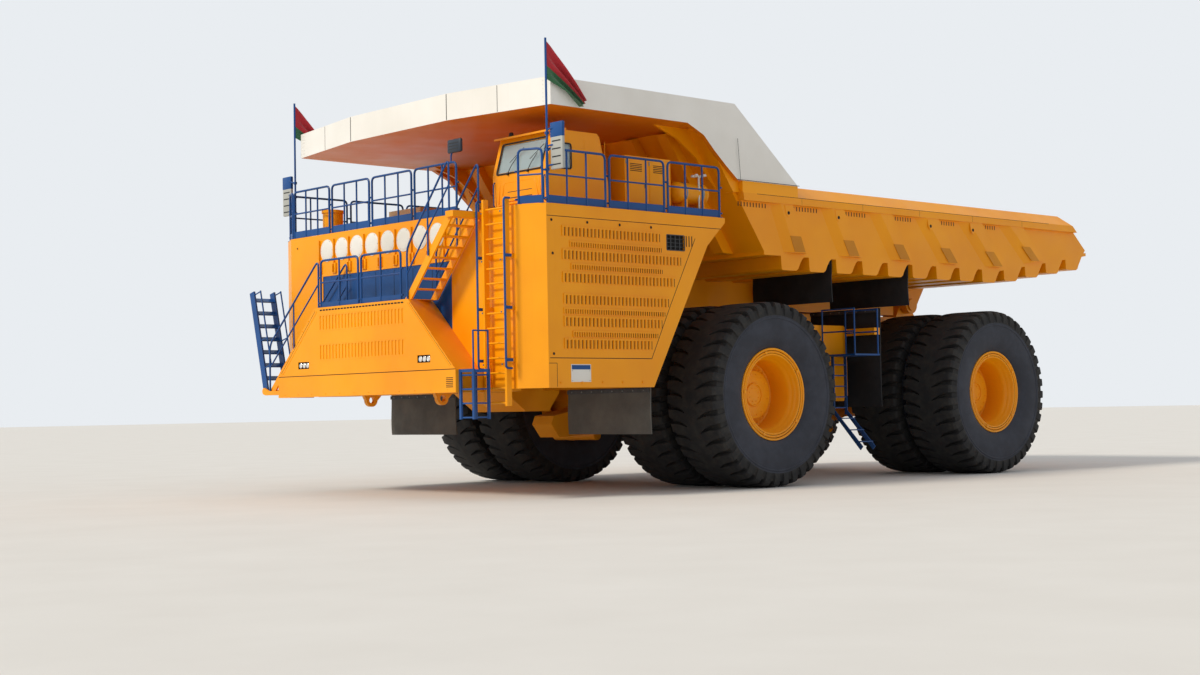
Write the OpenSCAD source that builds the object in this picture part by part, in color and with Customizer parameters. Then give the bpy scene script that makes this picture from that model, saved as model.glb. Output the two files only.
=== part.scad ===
// Mining dump truck with two steered twin-tyre axles.
// Millimetres. +X is forwards, +Y is the truck's left, +Z is up.
// The origin is on the ground, under the middle of the truck.

/* [Layout] */
// Distance between the front and the rear axle
wheelbase = 8000; // [7700:50:8200]
// From the front axle to the face of the grille
front_overhang = 7350; // [7300:10:7500]
// From the rear axle to the lip of the bed
rear_overhang = 5250; // [5000:50:5500]
// Angle that an axle turns to each side
steer_deg = 15; // [8:1:15]
// Angle of the tipped bed
tip_deg = 45; // [20:1:45]

/* [Tyres] */
// Outer radius of a tyre, to the tips of its lugs
tyre_r = 1980; // [1900:10:1985]
// Width of a tyre
tyre_w = 1450; // [1350:10:1470]
// Gap between the two tyres of a pair
twin_gap = 190; // [150:10:250]
// From the middle of the truck to the outer face of a pair
track_y = 4800; // [4700:10:4850]
// Depth of the tread grooves
tread_h = 95; // [60:5:110]
// Lugs round a tyre
lug_n = 15; // [12:1:15]
// Width of the slanted shoulder at each side of the tread
shoulder_w = 80; // [60:5:120]
// From the lugs' tips in to the widest place of the side wall
bulge_in = 420; // [360:10:480]
// Width of a tyre at its bead
bead_w = 1120; // [1050:10:1150]

/* [Rims] */
// Radius where the tyre sits on the rim
rim_r = 930; // [880:10:980]
// Thickness of the rim's steel
rim_t = 60; // [40:5:80]
// Height of the rim's flange over its seat
flange_h = 60; // [40:5:80]
// Width of the rim's flange
flange_w = 40; // [30:5:60]
// Inner radius of the wheel's barrel
barrel_r = 720; // [680:10:740]
// Depth of the hub plate behind the rim's edge
dish_depth = 760; // [600:10:850]
// Thickness of the hub plate
hub_plate_t = 160; // [120:10:200]
// Radius of the hub cover
hub_cap_r = 540; // [480:10:560]
// Height of the hub cover
hub_cap_h = 130; // [80:10:180]

/* [Axles] */
// Radius of the spindle tube inside the rims
spindle_r = 430; // [380:10:460]
// Radius of the spindle's end in the hub plate
spindle_end_r = 350; // [300:10:370]
// Running clearance of bearings and pins
run_gap = 0.05; // [0.02:0.01:0.1]
// Half length of the axle's middle case
axle_case_y = 1100; // [1000:20:1200]
// Radius of the axle's middle case
axle_case_r = 560; // [500:10:620]
// Radius of the turntable over each axle
turntable_r = 900; // [800:10:1000]
// Thickness of the turntable
turntable_t = 150; // [100:10:200]
// Radius of the king pin
king_pin_r = 200; // [160:10:240]
// Radius of a suspension strut
strut_r = 150; // [120:10:180]
// Length of the nose that the steering pulls at
axle_nose = 2450; // [2200:50:2600]

/* [Frame] */
// Half width of the frame over its rails
frame_y = 1100; // [1050:10:1120]
// Width of a frame rail
rail_w = 450; // [380:10:500]
// Height of the underside of the rails
rail_z = 3060; // [3040:10:3100]
// Height of a frame rail
rail_h = 940; // [860:10:960]
// Width of a cross beam of the frame
cross_w = 500; // [400:10:600]

/* [Housing] */
// Half width over the side walls
housing_y = 4550; // [4500:10:4600]
// Height of the lower edge of the walls
housing_z = 2150; // [2100:10:2250]
// Thickness of the walls
wall_t = 60; // [40:5:80]
// Distance of the front wall behind the face of the grille
wall_setback = 870; // [830:10:900]
// Length of the corner chamfer along the truck
chamfer_x = 290; // [200:10:320]
// Length of the corner chamfer across the truck
chamfer_y = 580; // [500:10:620]
// From the front wall back to the lower rear corner of the side wall
wall_low_x = 3060; // [2950:10:3100]
// From the front wall back to the kink of the rear edge
wall_kink_x = 4670; // [4500:10:4700]
// Height of the kink in the rear edge
wall_kink_z = 5070; // [4950:10:5150]
// Height of the seam under the deck
seam_z = 5440; // [5380:10:5500]

/* [Deck] */
// Height of the deck
deck_z = 5680; // [5650:10:5750]
// Thickness of the deck
deck_t = 100; // [60:10:140]
// Length of the deck
deck_x = 5210; // [5100:10:5300]
// Height of the handrail over the deck
guard_h = 1080; // [1000:10:1150]
// Radius of the handrail tubes
guard_r = 24; // [18:1:30]
// Height of the toe board
toe_h = 150; // [100:10:180]
// Distance between handrail posts
post_pitch = 900; // [700:50:1100]
// Length of a framed section of the guard
guard_len = 1540; // [1200:20:1900]
// Gap between the posts of two sections
guard_gap = 110; // [80:5:160]
// Size of a section's cut upper corner
guard_corner = 110; // [60:5:150]

/* [Grille] */
// Half width of the bumper
bumper_y = 3160; // [3100:10:3200]
// Height of the bumper's lower edge
bumper_z = 2100; // [2050:10:2150]
// Height of the bumper
bumper_h = 440; // [380:10:480]
// Half width of the grille's top
grille_top_y = 1650; // [1550:10:1700]
// Height of the walkway on top of the grille
walkway_z = 3980; // [3900:10:4050]
// How far the sides of the grille draw in towards the front wall
grille_taper = 340; // [200:10:400]
// Thickness of the grille's sheet
grille_t = 60; // [40:5:80]
// Half width of the louvre bands
louvre_y = 1530; // [1400:10:1550]
// Height of a louvre band
louvre_h = 290; // [240:10:320]
// Number of louvre slots in a band
louvre_n = 26; // [16:1:32]
// Distance between the slats of the side walls' louvres
slat_pitch = 98; // [80:1:150]
// How far the slats stand out
louvre_proud = 18; // [10:1:25]

/* [Front stairs] */
// Half width of the radiator panel
radiator_y = 2320; // [2200:10:2400]
// Number of round intake covers
intake_n = 8; // [6:1:8]
// Radius of an intake cover
intake_r = 245; // [200:5:255]
// Distance between intake covers
intake_pitch = 570; // [540:10:590]
// Steps of the upper stair
upper_steps = 8; // [6:1:9]
// Steps of the lower stair
lower_steps = 6; // [5:1:8]
// Thickness of a stair's side plate
stringer_t = 40; // [30:5:50]
// Rungs of the tall ladder
ladder_rungs = 13; // [10:1:16]
// Width of the tall ladder
ladder_w = 700; // [600:10:760]

/* [Boarding stair] */
// Length of the boarding stair
board_len = 2300; // [2000:50:2400]
// Height of the boarding stair's hinge
board_hinge_z = 2260; // [2200:10:2400]
// Angle of the stowed boarding stair from upright
board_lean = 14; // [8:1:16]
// Steps of the boarding stair
board_steps = 7; // [6:1:9]
// Width of the boarding stair
board_w = 560; // [500:10:640]

/* [Cab] */
// Height of the cab over the deck
cab_h = 1570; // [1500:10:1650]
// Width of the cab
cab_w = 1650; // [1550:10:1700]
// Position of the cab's left side
cab_y = 3950; // [3900:10:4000]
// Thickness of the cab's wall
cab_t = 60; // [45:5:80]
// Length of the cab at the deck
cab_base_x = 1750; // [1650:10:1800]
// Length of the cab's roof
cab_roof_x = 1200; // [1100:10:1250]
// Width of the cab's door
door_w = 760; // [700:10:800]
// Thickness of the window glass
glass_t = 12; // [8:1:20]

/* [Bed] */
// Half width of the bed
bed_y = 4410; // [4350:10:4450]
// From the housing's front wall back to the front edge of the bed's floor
bed_setback = 6680; // [6600:10:6800]
// Height of the bed's floor
bed_z = 5000; // [4980:10:5040]
// Height of the bed's top rail
bed_top_z = 6550; // [6450:10:6600]
// Thickness of the bed's plates
bed_t = 80; // [60:5:100]
// Depth of the cross ribs under the floor
rib_h = 310; // [260:10:320]
// Number of cross ribs under the floor
rib_n = 13; // [10:1:13]
// Distance between the cross ribs
rib_pitch = 925; // [880:5:940]
// Width of the side rail
side_rail_w = 430; // [350:10:480]
// Number of ribs on each side wall
side_rib_n = 6; // [4:1:6]
// Width of a side rib's flat face
side_rib_w = 370; // [300:10:450]
// Width of a side rib's sloped front face
side_rib_slant = 250; // [150:10:300]
// Depth of the ribs on the bed's front wall at their foot
front_rib_h = 330; // [150:10:360]
// Width of the ribs on the bed's front wall
front_rib_w = 300; // [200:10:360]
// Distance between the ribs on the bed's front wall
front_rib_pitch = 1080; // [1000:10:1100]
// Height of the bed's hinge
hinge_z = 4330; // [4310:10:4360]
// Distance of the bed's hinge behind the rear axle
hinge_back = 1190; // [1100:10:1250]
// Radius of the hinge pin
hinge_pin_r = 110; // [90:5:130]

/* [Canopy] */
// Height of the canopy's top
canopy_z = 8165; // [8100:5:8200]
// Depth of the canopy's edge
canopy_h = 545; // [480:5:580]
// From the face of the grille back to the canopy's front edge
canopy_setback = 980; // [950:10:1100]
// How far the canopy's corners stand back from its front edge
canopy_sweep = 460; // [350:10:520]
// Half width of the straight part of the front edge
canopy_nose_y = 1710; // [1500:10:1900]

/* [Hoist] */
// Radius of the hoist's barrel
hoist_r = 220; // [190:5:230]
// Radius of the hoist's first stage
stage_r = 175; // [150:5:180]
// Radius of the hoist's rod
rod_r = 125; // [100:5:130]
// Radius of the hoist's pins
hoist_pin_r = 100; // [80:5:110]
// Distance of the hoists from the middle of the truck
hoist_y = 1440; // [1400:10:1480]
// Width of a hoist's eye
eye_w = 300; // [240:10:320]

/* [Fittings] */
// Thickness of a mud flap
flap_t = 30; // [20:5:40]
// Radius of a flagpole
pole_r = 22; // [15:1:30]
// Height of a flagpole's tip
pole_z = 8880; // [8500:10:9000]
// Half width over the mirrors
mirror_y = 4935; // [4900:5:4950]

/* [Hidden] */
$fn = 48;
length = front_overhang + wheelbase + rear_overhang;
face_x = length / 2;
tail_x = -length / 2;
front_axle_x = face_x - front_overhang;
rear_axle_x = front_axle_x - wheelbase;
wall_x = face_x - wall_setback;
deck_rear_x = wall_x - deck_x;
chamfer_end_x = wall_x - chamfer_x;
wall_end_y = housing_y - chamfer_y;
rail_top = rail_z + rail_h;
cut = 5;
seat = 0.3;

// Tyre pairs
tyre_outer_y = track_y - tyre_w / 2;
tyre_inner_y = tyre_outer_y - tyre_w - twin_gap;
pair_in_y = track_y - 2 * tyre_w - twin_gap;
rim_half = bead_w / 2 + flange_w;
rim_edge_y = tyre_outer_y + rim_half;
hub_y = rim_edge_y - dish_depth;
spindle_y = hub_y - hub_plate_t - 60;
king_top = rail_z + 400;

// Bed hinge and hoists
hinge_x = rear_axle_x - hinge_back;
hoist_base_x = (front_axle_x + rear_axle_x) / 2 - 150;
hoist_base_z = 1600;
hoist_eye_x = hoist_base_x + 690;
hoist_eye_z = bed_z - rib_h - 230;
hoist_lean = atan2(hoist_base_x - hoist_eye_x, hoist_eye_z - hoist_base_z);
hoist_len = norm([hoist_base_x - hoist_eye_x, hoist_eye_z - hoist_base_z]);
eye_r = hoist_pin_r + 90;
bed_front_x = wall_x - bed_setback;
bed_slope = 0.715;
bed_kink_x = rear_axle_x - 950;
tail_rise = 610;
side_end_x = tail_x + 470;
canopy_x = face_x - canopy_setback;
beam_z = rail_top + 50;
rib_top_w = 780;
tail_half_w = 2600;
rib_first_x = bed_front_x - 930;
rail_bevel = 260;
rail_end_x = bed_front_x + 750;

// Cab
cab_x = wall_x - 850;
cab_right_y = cab_y - cab_w;
cab_sill = 780;
cab_top = deck_z + cab_h;
front_lean = 190;
roof_front_x = cab_x - front_lean;
roof_rear_x = roof_front_x - cab_roof_x;
door_x = cab_x - 420;
door_low = deck_z + 110;
door_high = cab_top - 190;
door_gap = 12;
hinge_r = 14;

// Boarding stair and front ladders
board_y = -3960;
landing_y = board_y + 160;
landing_z = 2170;
board_x = wall_x + 420;
ladder_y = 3550;
ladder_x = wall_x + 90;
platform_z = deck_z - 130;
ladder_rail_gap = 70;

// Frame
king_h = 380;
mid_box_x = (front_axle_x + rear_axle_x) / 2 + 990;
mid_box_z = 1400;
cross_x = [front_axle_x + 4950, front_axle_x + 3500, front_axle_x + 1750, front_axle_x, front_axle_x - 1600,
    rear_axle_x + 2000, rear_axle_x, hinge_x - 190];
pad_x = [front_axle_x - 1500, mid_box_x, rear_axle_x + 1500];
hinge_boss_r = 250;
ear_y = frame_y + 15;
ear_w = 200;
keel_y = 900;
keel_z = 1710;
tow_x = wall_x - 230;
tow_y = 1250;
tow_hole_r = 70;
tank_y = 1750;
tank_arm_z = [1950, 3260];
tank_r = 225;

// Mud flaps
flap_x = mid_box_x - 1640;
flap_y = 1700;
flap_end_y = 3850;
flap_top = 4000;

// Engine
engine_l = 3300;
engine_w = 3000;
engine_h = 1250;

// Front wall and grille
wall_top = deck_z - deck_t;
louvre_z = [2890, 3510];
lamp_y = 2150;
lamp_z = 2700;
lamp_w = 420;
lamp_h = 150;
intake_mid_y = -510;
intake_z = 5310;
radiator_top = 4750;
radiator_low = 2950;
radiator_left = 1950;
radiator_right = 2690;
radiator_low_y = 1300;
vent_x = 5430;
vent_z = 4930;
vent_w = 510;
vent_h = 310;

// Stairs
stair_low_y = 1500;
stair_top_y = 2900;
stair_end_y = ladder_y - ladder_w / 2 - ladder_rail_gap - guard_r - 6;
stair_x = [wall_x + 100, face_x - 100];
stair_rail_x = [stair_x[0] - guard_r - 2 - seat, stair_x[1] + guard_r + 2 + seat];
stair_foot = 130;
stair_back = 90;
low_stair_z = landing_z + 60;
low_stair_y = grille_side_y(low_stair_z) + stair_foot + seat;
board_pin_r = 35;
board_lug_x = [board_x - board_w / 2 - 46, board_x + board_w / 2 + 6];
clamp_z = [2700, 3700, 4700];
platform_t = 120;
landing_t = 90;
toe_t = 12;

// Deck fittings, bed and hoists
drum_x = wall_x - 420;
drum_y = -2900;
pole_x = chamfer_end_x - 140;
pole_y = housing_y - 105;
flag_x = pole_x - pole_r - seat;
mirror_low = deck_z + 620;
mirror_top = deck_z + 1540;
mirror_in_y = mirror_y - 360;
front_mirror_y = stair_top_y - 760;
cabinet_x = [deck_rear_x + 380, deck_rear_x + 2380];
cabinet_y = [-housing_y + 400, -housing_y + 1650];
cabinet_h = 820;
box_x = [deck_rear_x + 1080, deck_rear_x + 2380];
box_y = [cab_y - 1050, cab_y + 100];
box_h = 1190;
bed_in_y = bed_y - 110;
barrel_top = hoist_len - eye_r - 220;
stage_low = eye_r + 150;

yellow = "#F5A21B";
blue = "#1B5E9E";
white = "#E4E2DC";
black = "#1C1D20";
tyre_grey = "#3B3C40";
steel = "#9A9DA0";
beige = "#C9B58C";

// Extrudes an outline drawn as [x, z] across the truck, from y0 to y1
module across(y0, y1)
    translate([0, y1, 0]) rotate([90, 0, 0]) linear_extrude(y1 - y0) children();

// Extrudes an outline drawn as [y, z] along the truck, from x0 to x1
module along(x0, x1)
    translate([x0, 0, 0]) rotate([90, 0, 90]) linear_extrude(x1 - x0) children();

// A block between two corners
module block(lo, hi) translate(lo) cube(hi - lo);

// A round bar from a to b
module bar(a, b, r, fn = 16) {
    d = b - a;
    translate(a) rotate([0, acos(d[2] / norm(d)), atan2(d[1], d[0])]) cylinder(h = norm(d), r = r, $fn = fn);
}

// A round bar along Y through [x, z]
module cross_bar(x, z, y0, y1, r) translate([x, y1, z]) rotate([90, 0, 0]) cylinder(h = y1 - y0, r = r);

// The piece and its mirror image on the other side of the truck
module both_sides() {
    children();
    mirror([0, 1, 0]) children();
}

// A handrail between two floor points, with posts, a knee rail and a toe board
module guard(a, b, h = guard_h, toe = toe_h) {
    d = b - a;
    n = max(1, round(norm(d) / post_pitch));
    up = [0, 0, h];
    for (i = [0:n]) translate(a + d * i / n) cylinder(h = h + guard_r + 2, r = guard_r + 2, $fn = 16);
    bar(a + up, b + up, guard_r);
    bar(a + up / 2, b + up / 2, guard_r - 4);
    if (toe > 0) translate(a) rotate([0, 0, atan2(d[1], d[0])])
        translate([0, -toe_t / 2, 5]) cube([norm([d[0], d[1]]), toe_t, toe]);
}

// Frame: two box rails, cross beams, turntable plates, the middle box and the arms
module frame_rails() color(yellow) {
    difference() {
        union() {
            both_sides() block([hinge_x - 450, frame_y - rail_w, rail_z], [wall_x - 500, frame_y, rail_top]);
            for (x = cross_x)
                block([x - cross_w / 2, 30 - frame_y, rail_z + 60], [x + cross_w / 2, frame_y - 30, rail_top - 60]);
            for (x = [front_axle_x, rear_axle_x]) {
                translate([x, 0, rail_z]) cylinder(h = turntable_t, r = turntable_r);
                translate([x, 0, rail_z]) cylinder(h = king_h + 60, r = king_pin_r + 130);
            }
            block([hoist_base_x - 260, 10 - frame_y, mid_box_z], [mid_box_x, frame_y - 10, rail_top - 80]);
            both_sides() {
                across(frame_y - rail_w, frame_y) hinge_bracket();
                cross_bar(hoist_base_x, hoist_base_z, frame_y - 40, hoist_y + eye_w / 2 + 20, hoist_pin_r);
                cross_bar(hoist_base_x, hoist_base_z, frame_y - 40, hoist_y - eye_w / 2 - 6, hoist_pin_r + 50);
                translate([0, hoist_y + eye_w / 2, 0]) cross_bar(hoist_base_x, hoist_base_z, 6, 40, hoist_pin_r + 40);
                for (z = tank_arm_z) block([mid_box_x - 160, frame_y - 40, z], [mid_box_x, tank_y, z + 220]);
                for (x = pad_x)
                    block([x - 250, frame_y - rail_w + 60, rail_top - 10], [x + 250, frame_y - 60, beam_z - seat]);
            }
            cross_bar(hinge_x, hinge_z, -ear_y - ear_w - 10, ear_y + ear_w + 10, hinge_pin_r);
            both_sides() cross_bar(hinge_x, hinge_z, ear_y + ear_w + 8, ear_y + ear_w + 40, hinge_pin_r + 50);
        }
        for (x = [front_axle_x, rear_axle_x])
            translate([x, 0, rail_z - cut]) cylinder(h = king_h + cut + 1, r = king_pin_r + run_gap);
    }
}

// Outline of the frame's bracket around the bed's hinge pin
module hinge_bracket() {
    translate([hinge_x, hinge_z]) circle(r = hinge_boss_r);
    polygon([[hinge_x - 420, rail_top - 20], [hinge_x - hinge_boss_r * 0.8, hinge_z],
        [hinge_x + hinge_boss_r * 0.8, hinge_z], [hinge_x + 420, rail_top - 20]]);
}

// Front beam: legs under the rails, the beam behind the bumper, the keel and the tow eyes
module front_beam() color(yellow) {
    difference() {
        union() {
            both_sides() block([wall_x - 1150, frame_y - rail_w, bumper_z + 10], [wall_x - 520, frame_y, rail_z]);
            block([wall_x - 880, 150 - bumper_y, bumper_z + 10],
                [wall_x - wall_t, bumper_y - 150, bumper_z + bumper_h]);
            across(-keel_y, keel_y) polygon([[wall_x - 860, bumper_z + 20], [wall_x - 860, bumper_z + bumper_h],
                [wall_x - 3700, bumper_z + bumper_h], [wall_x - 3700, bumper_z], [wall_x - 3400, keel_z],
                [wall_x - 2750, keel_z], [wall_x - 2200, bumper_z + 20]]);
            both_sides() across(tow_y - 50, tow_y + 50) tow_eye();
        }
        both_sides() cross_bar(tow_x, bumper_z - 90, tow_y - 60, tow_y + 60, tow_hole_r);
    }
}

module tow_eye() {
    translate([tow_x, bumper_z - 90]) circle(r = tow_hole_r + 70);
    polygon([[tow_x - 260, bumper_z + 20], [tow_x - tow_hole_r - 60, bumper_z - 110],
        [tow_x + tow_hole_r + 60, bumper_z - 110], [tow_x + 200, bumper_z + 20]]);
}

// Half width of the grille's front edge at height z
function grille_side_y(z) = bumper_y
    - (z - bumper_z - bumper_h) * (bumper_y - grille_top_y) / (walkway_z - bumper_z - bumper_h);

// Outline of the grille at [y, z], its sides drawn in and its sheet taken off
function grille_outline(draw_in, t) = let (y = bumper_y - draw_in - t, top = grille_top_y - draw_in - t / 2,
    z = bumper_z + bumper_h)
    [[-y, z - 10], [-y, z], [-top, walkway_z - t], [top, walkway_z - t], [y, z], [y, z - 10]];

module grille_wedge(t, x0, x1) hull() {
    along(x0, x0 + 1) polygon(grille_outline(grille_taper, t));
    along(x1 - 1, x1) polygon(grille_outline(0, t));
}

// Grille housing: the bumper and the tapered hood with its two louvre bands
module grille_housing() color(yellow) difference() {
    union() {
        grille_wedge(0, wall_x, face_x);
        block([wall_x, -bumper_y, bumper_z], [face_x, bumper_y, bumper_z + bumper_h]);
    }
    grille_wedge(grille_t, wall_x - cut, face_x - grille_t);
    block([wall_x - cut, grille_t - bumper_y, bumper_z - cut],
        [face_x - grille_t, bumper_y - grille_t, bumper_z + bumper_h - 9]);
    for (z = louvre_z, i = [0:louvre_n - 1]) {
        y = -louvre_y + (i + 0.5) * 2 * louvre_y / louvre_n;
        slot = louvre_y * 0.55 / louvre_n;
        block([face_x - grille_t - cut, y - slot, z], [face_x + cut, y + slot, z + louvre_h]);
    }
    for (side = [-1, 1]) lamp_box(side, 0);
}

// The block that a lamp group fills in the grille's sheet
module lamp_box(side, gap)
    translate([face_x - grille_t - 40, side * lamp_y - lamp_w / 2 + gap, lamp_z + gap])
        cube([grille_t + 80, lamp_w - 2 * gap, lamp_h - 2 * gap]);

module headlamps() color(white) for (side = [-1, 1]) difference() {
    lamp_box(side, seat);
    block([face_x - 12, -face_x, lamp_z - cut], [face_x + 100, face_x, lamp_z + lamp_h + cut]);
}

// Front wall with ribs between the intake covers and the opening of the radiator
module front_wall() color(yellow) {
    difference() {
        along(wall_x - wall_t, wall_x) polygon([[-wall_end_y, housing_z], [wall_end_y, housing_z],
            [wall_end_y, wall_top], [-wall_end_y, wall_top]]);
        along(wall_x - wall_t - cut, wall_x + cut) polygon(radiator_outline(0));
    }
    for (i = [0:intake_n]) {
        y = intake_mid_y + (i - intake_n / 2) * intake_pitch;
        block([wall_x - 1, y - 15, intake_z - 420], [wall_x + 45, y + 15, intake_z + 240]);
    }
}

function radiator_outline(g) = [[g - radiator_right, walkway_z + g], [g - radiator_right, radiator_top - g],
    [radiator_left - g, radiator_top - g], [radiator_left - g, radiator_low + g],
    [g - radiator_low_y, radiator_low + g], [g - radiator_low_y, walkway_z + g]];

module radiator_panel() color(blue)
    along(wall_x - wall_t, wall_x - 15) polygon(radiator_outline(seat));

module intake_covers() color(white) for (i = [0:intake_n - 1])
    translate([wall_x, intake_mid_y + (i - (intake_n - 1) / 2) * intake_pitch, intake_z])
        rotate([0, 90, 0]) cylinder(h = 35, r = intake_r);

// Side wall of the housing with its corner chamfer and the wheel arch's sheet
module housing() difference() {
    union() {
        across(housing_y - wall_t, housing_y) polygon([[chamfer_end_x, housing_z], [chamfer_end_x, wall_top],
            [deck_rear_x, wall_top], [wall_x - wall_kink_x, wall_kink_z], [wall_x - wall_low_x, housing_z]]);
        translate([0, 0, housing_z]) linear_extrude(wall_top - housing_z) polygon([[chamfer_end_x, housing_y],
            [wall_x, wall_end_y], [wall_x - wall_t, wall_end_y], [chamfer_end_x, housing_y - wall_t]]);
        across(frame_y + 60, housing_y - 1) polygon([[deck_rear_x + wall_t, wall_top], [deck_rear_x, wall_top],
            [wall_x - wall_kink_x, wall_kink_z], [wall_x - wall_low_x, housing_z],
            [wall_x - wall_low_x + wall_t, housing_z], [wall_x - wall_kink_x + wall_t, wall_kink_z]]);
        for (row = louvre_rows) wall_louvres(row);
    }
    block([vent_x, housing_y - wall_t - cut, vent_z], [vent_x + vent_w, housing_y + cut, vent_z + vent_h]);
}

// Rows of louvres on a side wall: height, lowest z, front end and rear end behind the front wall
louvre_rows = [[200, 5070, 670, 3400], [120, 4865, 870, 3400], [200, 4620, 670, 3980], [120, 4430, 890, 3380],
    [200, 4180, 670, 3770], [200, 3760, 690, 3550], [120, 3570, 690, 3450], [200, 3330, 690, 3350],
    [120, 3130, 910, 3250], [200, 2900, 690, 3130]];

// One row as a comb of upright slats
module wall_louvres(row) across(housing_y - 1, housing_y + louvre_proud)
    let (pitch = row[0] < 150 ? 0.63 * slat_pitch : slat_pitch, n = floor((row[3] - row[2]) / pitch))
    polygon([[wall_x - row[2], row[1] + row[0]], for (i = [0:n - 1], p = [[0, 0], [0.5, 0], [0.5, 1], [1, 1]])
        [wall_x - row[2] - (i + p[0]) * pitch, row[1] + (p[1] == 0 ? 0 : row[0] - 30)],
        [wall_x - row[2] - n * pitch, row[1] + row[0]]]);

module housing_left() color(yellow) housing();
module housing_right() color(yellow) mirror([0, 1, 0]) housing();

// Deck on top of the housing
module deck_plate() color(yellow) translate([0, 0, deck_z - deck_t]) linear_extrude(deck_t)
    polygon([[deck_rear_x, -housing_y], [chamfer_end_x, -housing_y], [wall_x, -wall_end_y],
        [wall_x, wall_end_y], [chamfer_end_x, housing_y], [deck_rear_x, housing_y]]);

// One framed section of the deck's guard: a loop of tube with cut corners, a knee rail and a toe board
module guard_frame(a, b) {
    d = (b - a) / norm(b - a);
    up = [0, 0, guard_h];
    c = guard_corner;
    for (p = [a, b]) translate(p) cylinder(h = guard_h - c, r = guard_r, $fn = 16);
    bar(a + up - [0, 0, c + 5], a + up + c * d, guard_r);
    bar(b + up - [0, 0, c + 5], b + up - c * d, guard_r);
    bar(a + up + (c - 10) * d, b + up - (c - 10) * d, guard_r);
    bar(a + up / 2, b + up / 2, guard_r - 4);
    translate(a) rotate([0, 0, atan2(d[1], d[0])]) translate([0, -toe_t / 2, 5]) cube([norm(b - a), toe_t, toe_h]);
}

// A row of guard sections from a to b with gaps between them
module guard_row(a, b) {
    n = max(1, round(norm(b - a) / guard_len));
    d = (b - a) / norm(b - a);
    for (i = [0:n - 1])
        guard_frame(a + (b - a) * i / n + guard_gap / 2 * d, a + (b - a) * (i + 1) / n - guard_gap / 2 * d);
}

module deck_guards() color(blue) {
    e = 50;
    z = deck_z;
    corner = [chamfer_end_x - e / 2, housing_y - e, z];
    bend = [wall_x - e, wall_end_y - e / 2, z];
    for (s = [1, -1]) {
        guard_row([deck_rear_x + e, s * corner[1], z], [corner[0], s * corner[1], z]);
        guard_row([corner[0], s * corner[1], z], [bend[0], s * bend[1], z]);
    }
    guard_row([bend[0], -bend[1], z], [bend[0], front_mirror_y, z]);
}

module walkway_guards() color(blue) {
    low_y = -grille_top_y + 40;
    platform_top = platform_z + platform_t / 2;
    guard([stair_rail_x[1], low_y, walkway_z], [stair_rail_x[1], stair_low_y - 120, walkway_z]);
    // handrails of the lower and of the upper stair
    slope_rail([stair_rail_x[1], -low_stair_y, landing_z + landing_t], [stair_rail_x[1], low_y, walkway_z]);
    slope_rail([stair_rail_x[0], -low_stair_y, landing_z + landing_t],
        [stair_rail_x[0], -grille_top_y - 40, walkway_z]);
    for (x = stair_rail_x)
        slope_rail([x, stair_low_y + 40, walkway_z], [x, stair_top_y + 40, platform_top]);
    // handrails of the tall ladder
    for (s = [-1, 1]) {
        y = ladder_y + s * (ladder_w / 2 + ladder_rail_gap);
        bar([ladder_x + 190, y, bumper_z + bumper_h + seat], [ladder_x + 190, y, deck_z + 120], guard_r);
        for (z = clamp_z) bar([wall_x + seat, y, z], [ladder_x + 190, y, z], guard_r - 4);
    }
}

// A sloping handrail with a post at each end
module slope_rail(a, b) {
    up = [0, 0, guard_h - 60];
    for (p = [a, b]) translate(p) cylinder(h = up[2] + guard_r, r = guard_r + 2, $fn = 16);
    bar(a + up, b + up, guard_r);
    bar(a + up / 2, b + up / 2, guard_r - 4);
}

// A stair that climbs along +Y between two side plates
module stair(x0, x1, low, high, steps) {
    d = high - low;
    for (x = [x0, x1 - stringer_t]) along(x, x + stringer_t)
        polygon([low - [stair_back, 0], low + [stair_foot, 0], high + [stair_foot, 0], high - [stair_back, 0]]);
    for (i = [1:steps - 1]) {
        p = low + d * i / steps;
        block([x0 + 1, p[0] - 80, p[1] - 15], [x1 - 1, p[0] + 120, p[1] + 15]);
    }
}

// Lower stair on the grille's right side, upper stair up to the deck, and their landings
module front_stairs() color(yellow) {
    stair(stair_x[0], stair_x[1], [stair_low_y, walkway_z], [stair_top_y, platform_z], upper_steps);
    block([wall_x, stair_top_y - 40, platform_z - platform_t / 2],
        [stair_x[1] + 60, stair_end_y, platform_z + platform_t / 2]);
    stair(stair_x[0], stair_x[1], [-low_stair_y, low_stair_z], [-grille_top_y - stair_foot - seat, walkway_z],
        lower_steps);
    block([wall_x, landing_y, landing_z], [stair_x[1] + 60, -bumper_y, landing_z + landing_t]);
    for (x = board_lug_x) along(x, x + 40) {
        translate([board_y, board_hinge_z]) circle(r = 75);
        polygon([[board_y, board_hinge_z - 70], [board_y, board_hinge_z + 70], [landing_y + 60, board_hinge_z],
            [landing_y + 60, landing_z]]);
    }
    bar([board_lug_x[0] + 1, board_y, board_hinge_z], [board_lug_x[1] + 39, board_y, board_hinge_z], board_pin_r, 32);
}

module tall_ladder() color(yellow) {
    z0 = housing_z - 330;
    z1 = deck_z + 150;
    for (s = [-1, 1]) translate([ladder_x, ladder_y + s * (ladder_w / 2 - 30), 0])
        block([0, -30, z0], [120, 30, z1]);
    for (i = [0:ladder_rungs]) {
        z = z0 + 60 + i * (z1 - z0 - 260) / ladder_rungs;
        bar([ladder_x + 60, ladder_y - ladder_w / 2 + 20, z], [ladder_x + 60, ladder_y + ladder_w / 2 - 20, z], 20);
    }
    for (z = clamp_z, s = [-1, 1]) translate([wall_x, ladder_y + s * (ladder_w / 2 - 30) - 25, z - 40])
        cube([ladder_x - wall_x + 10, 50, 80]);
}

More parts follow.
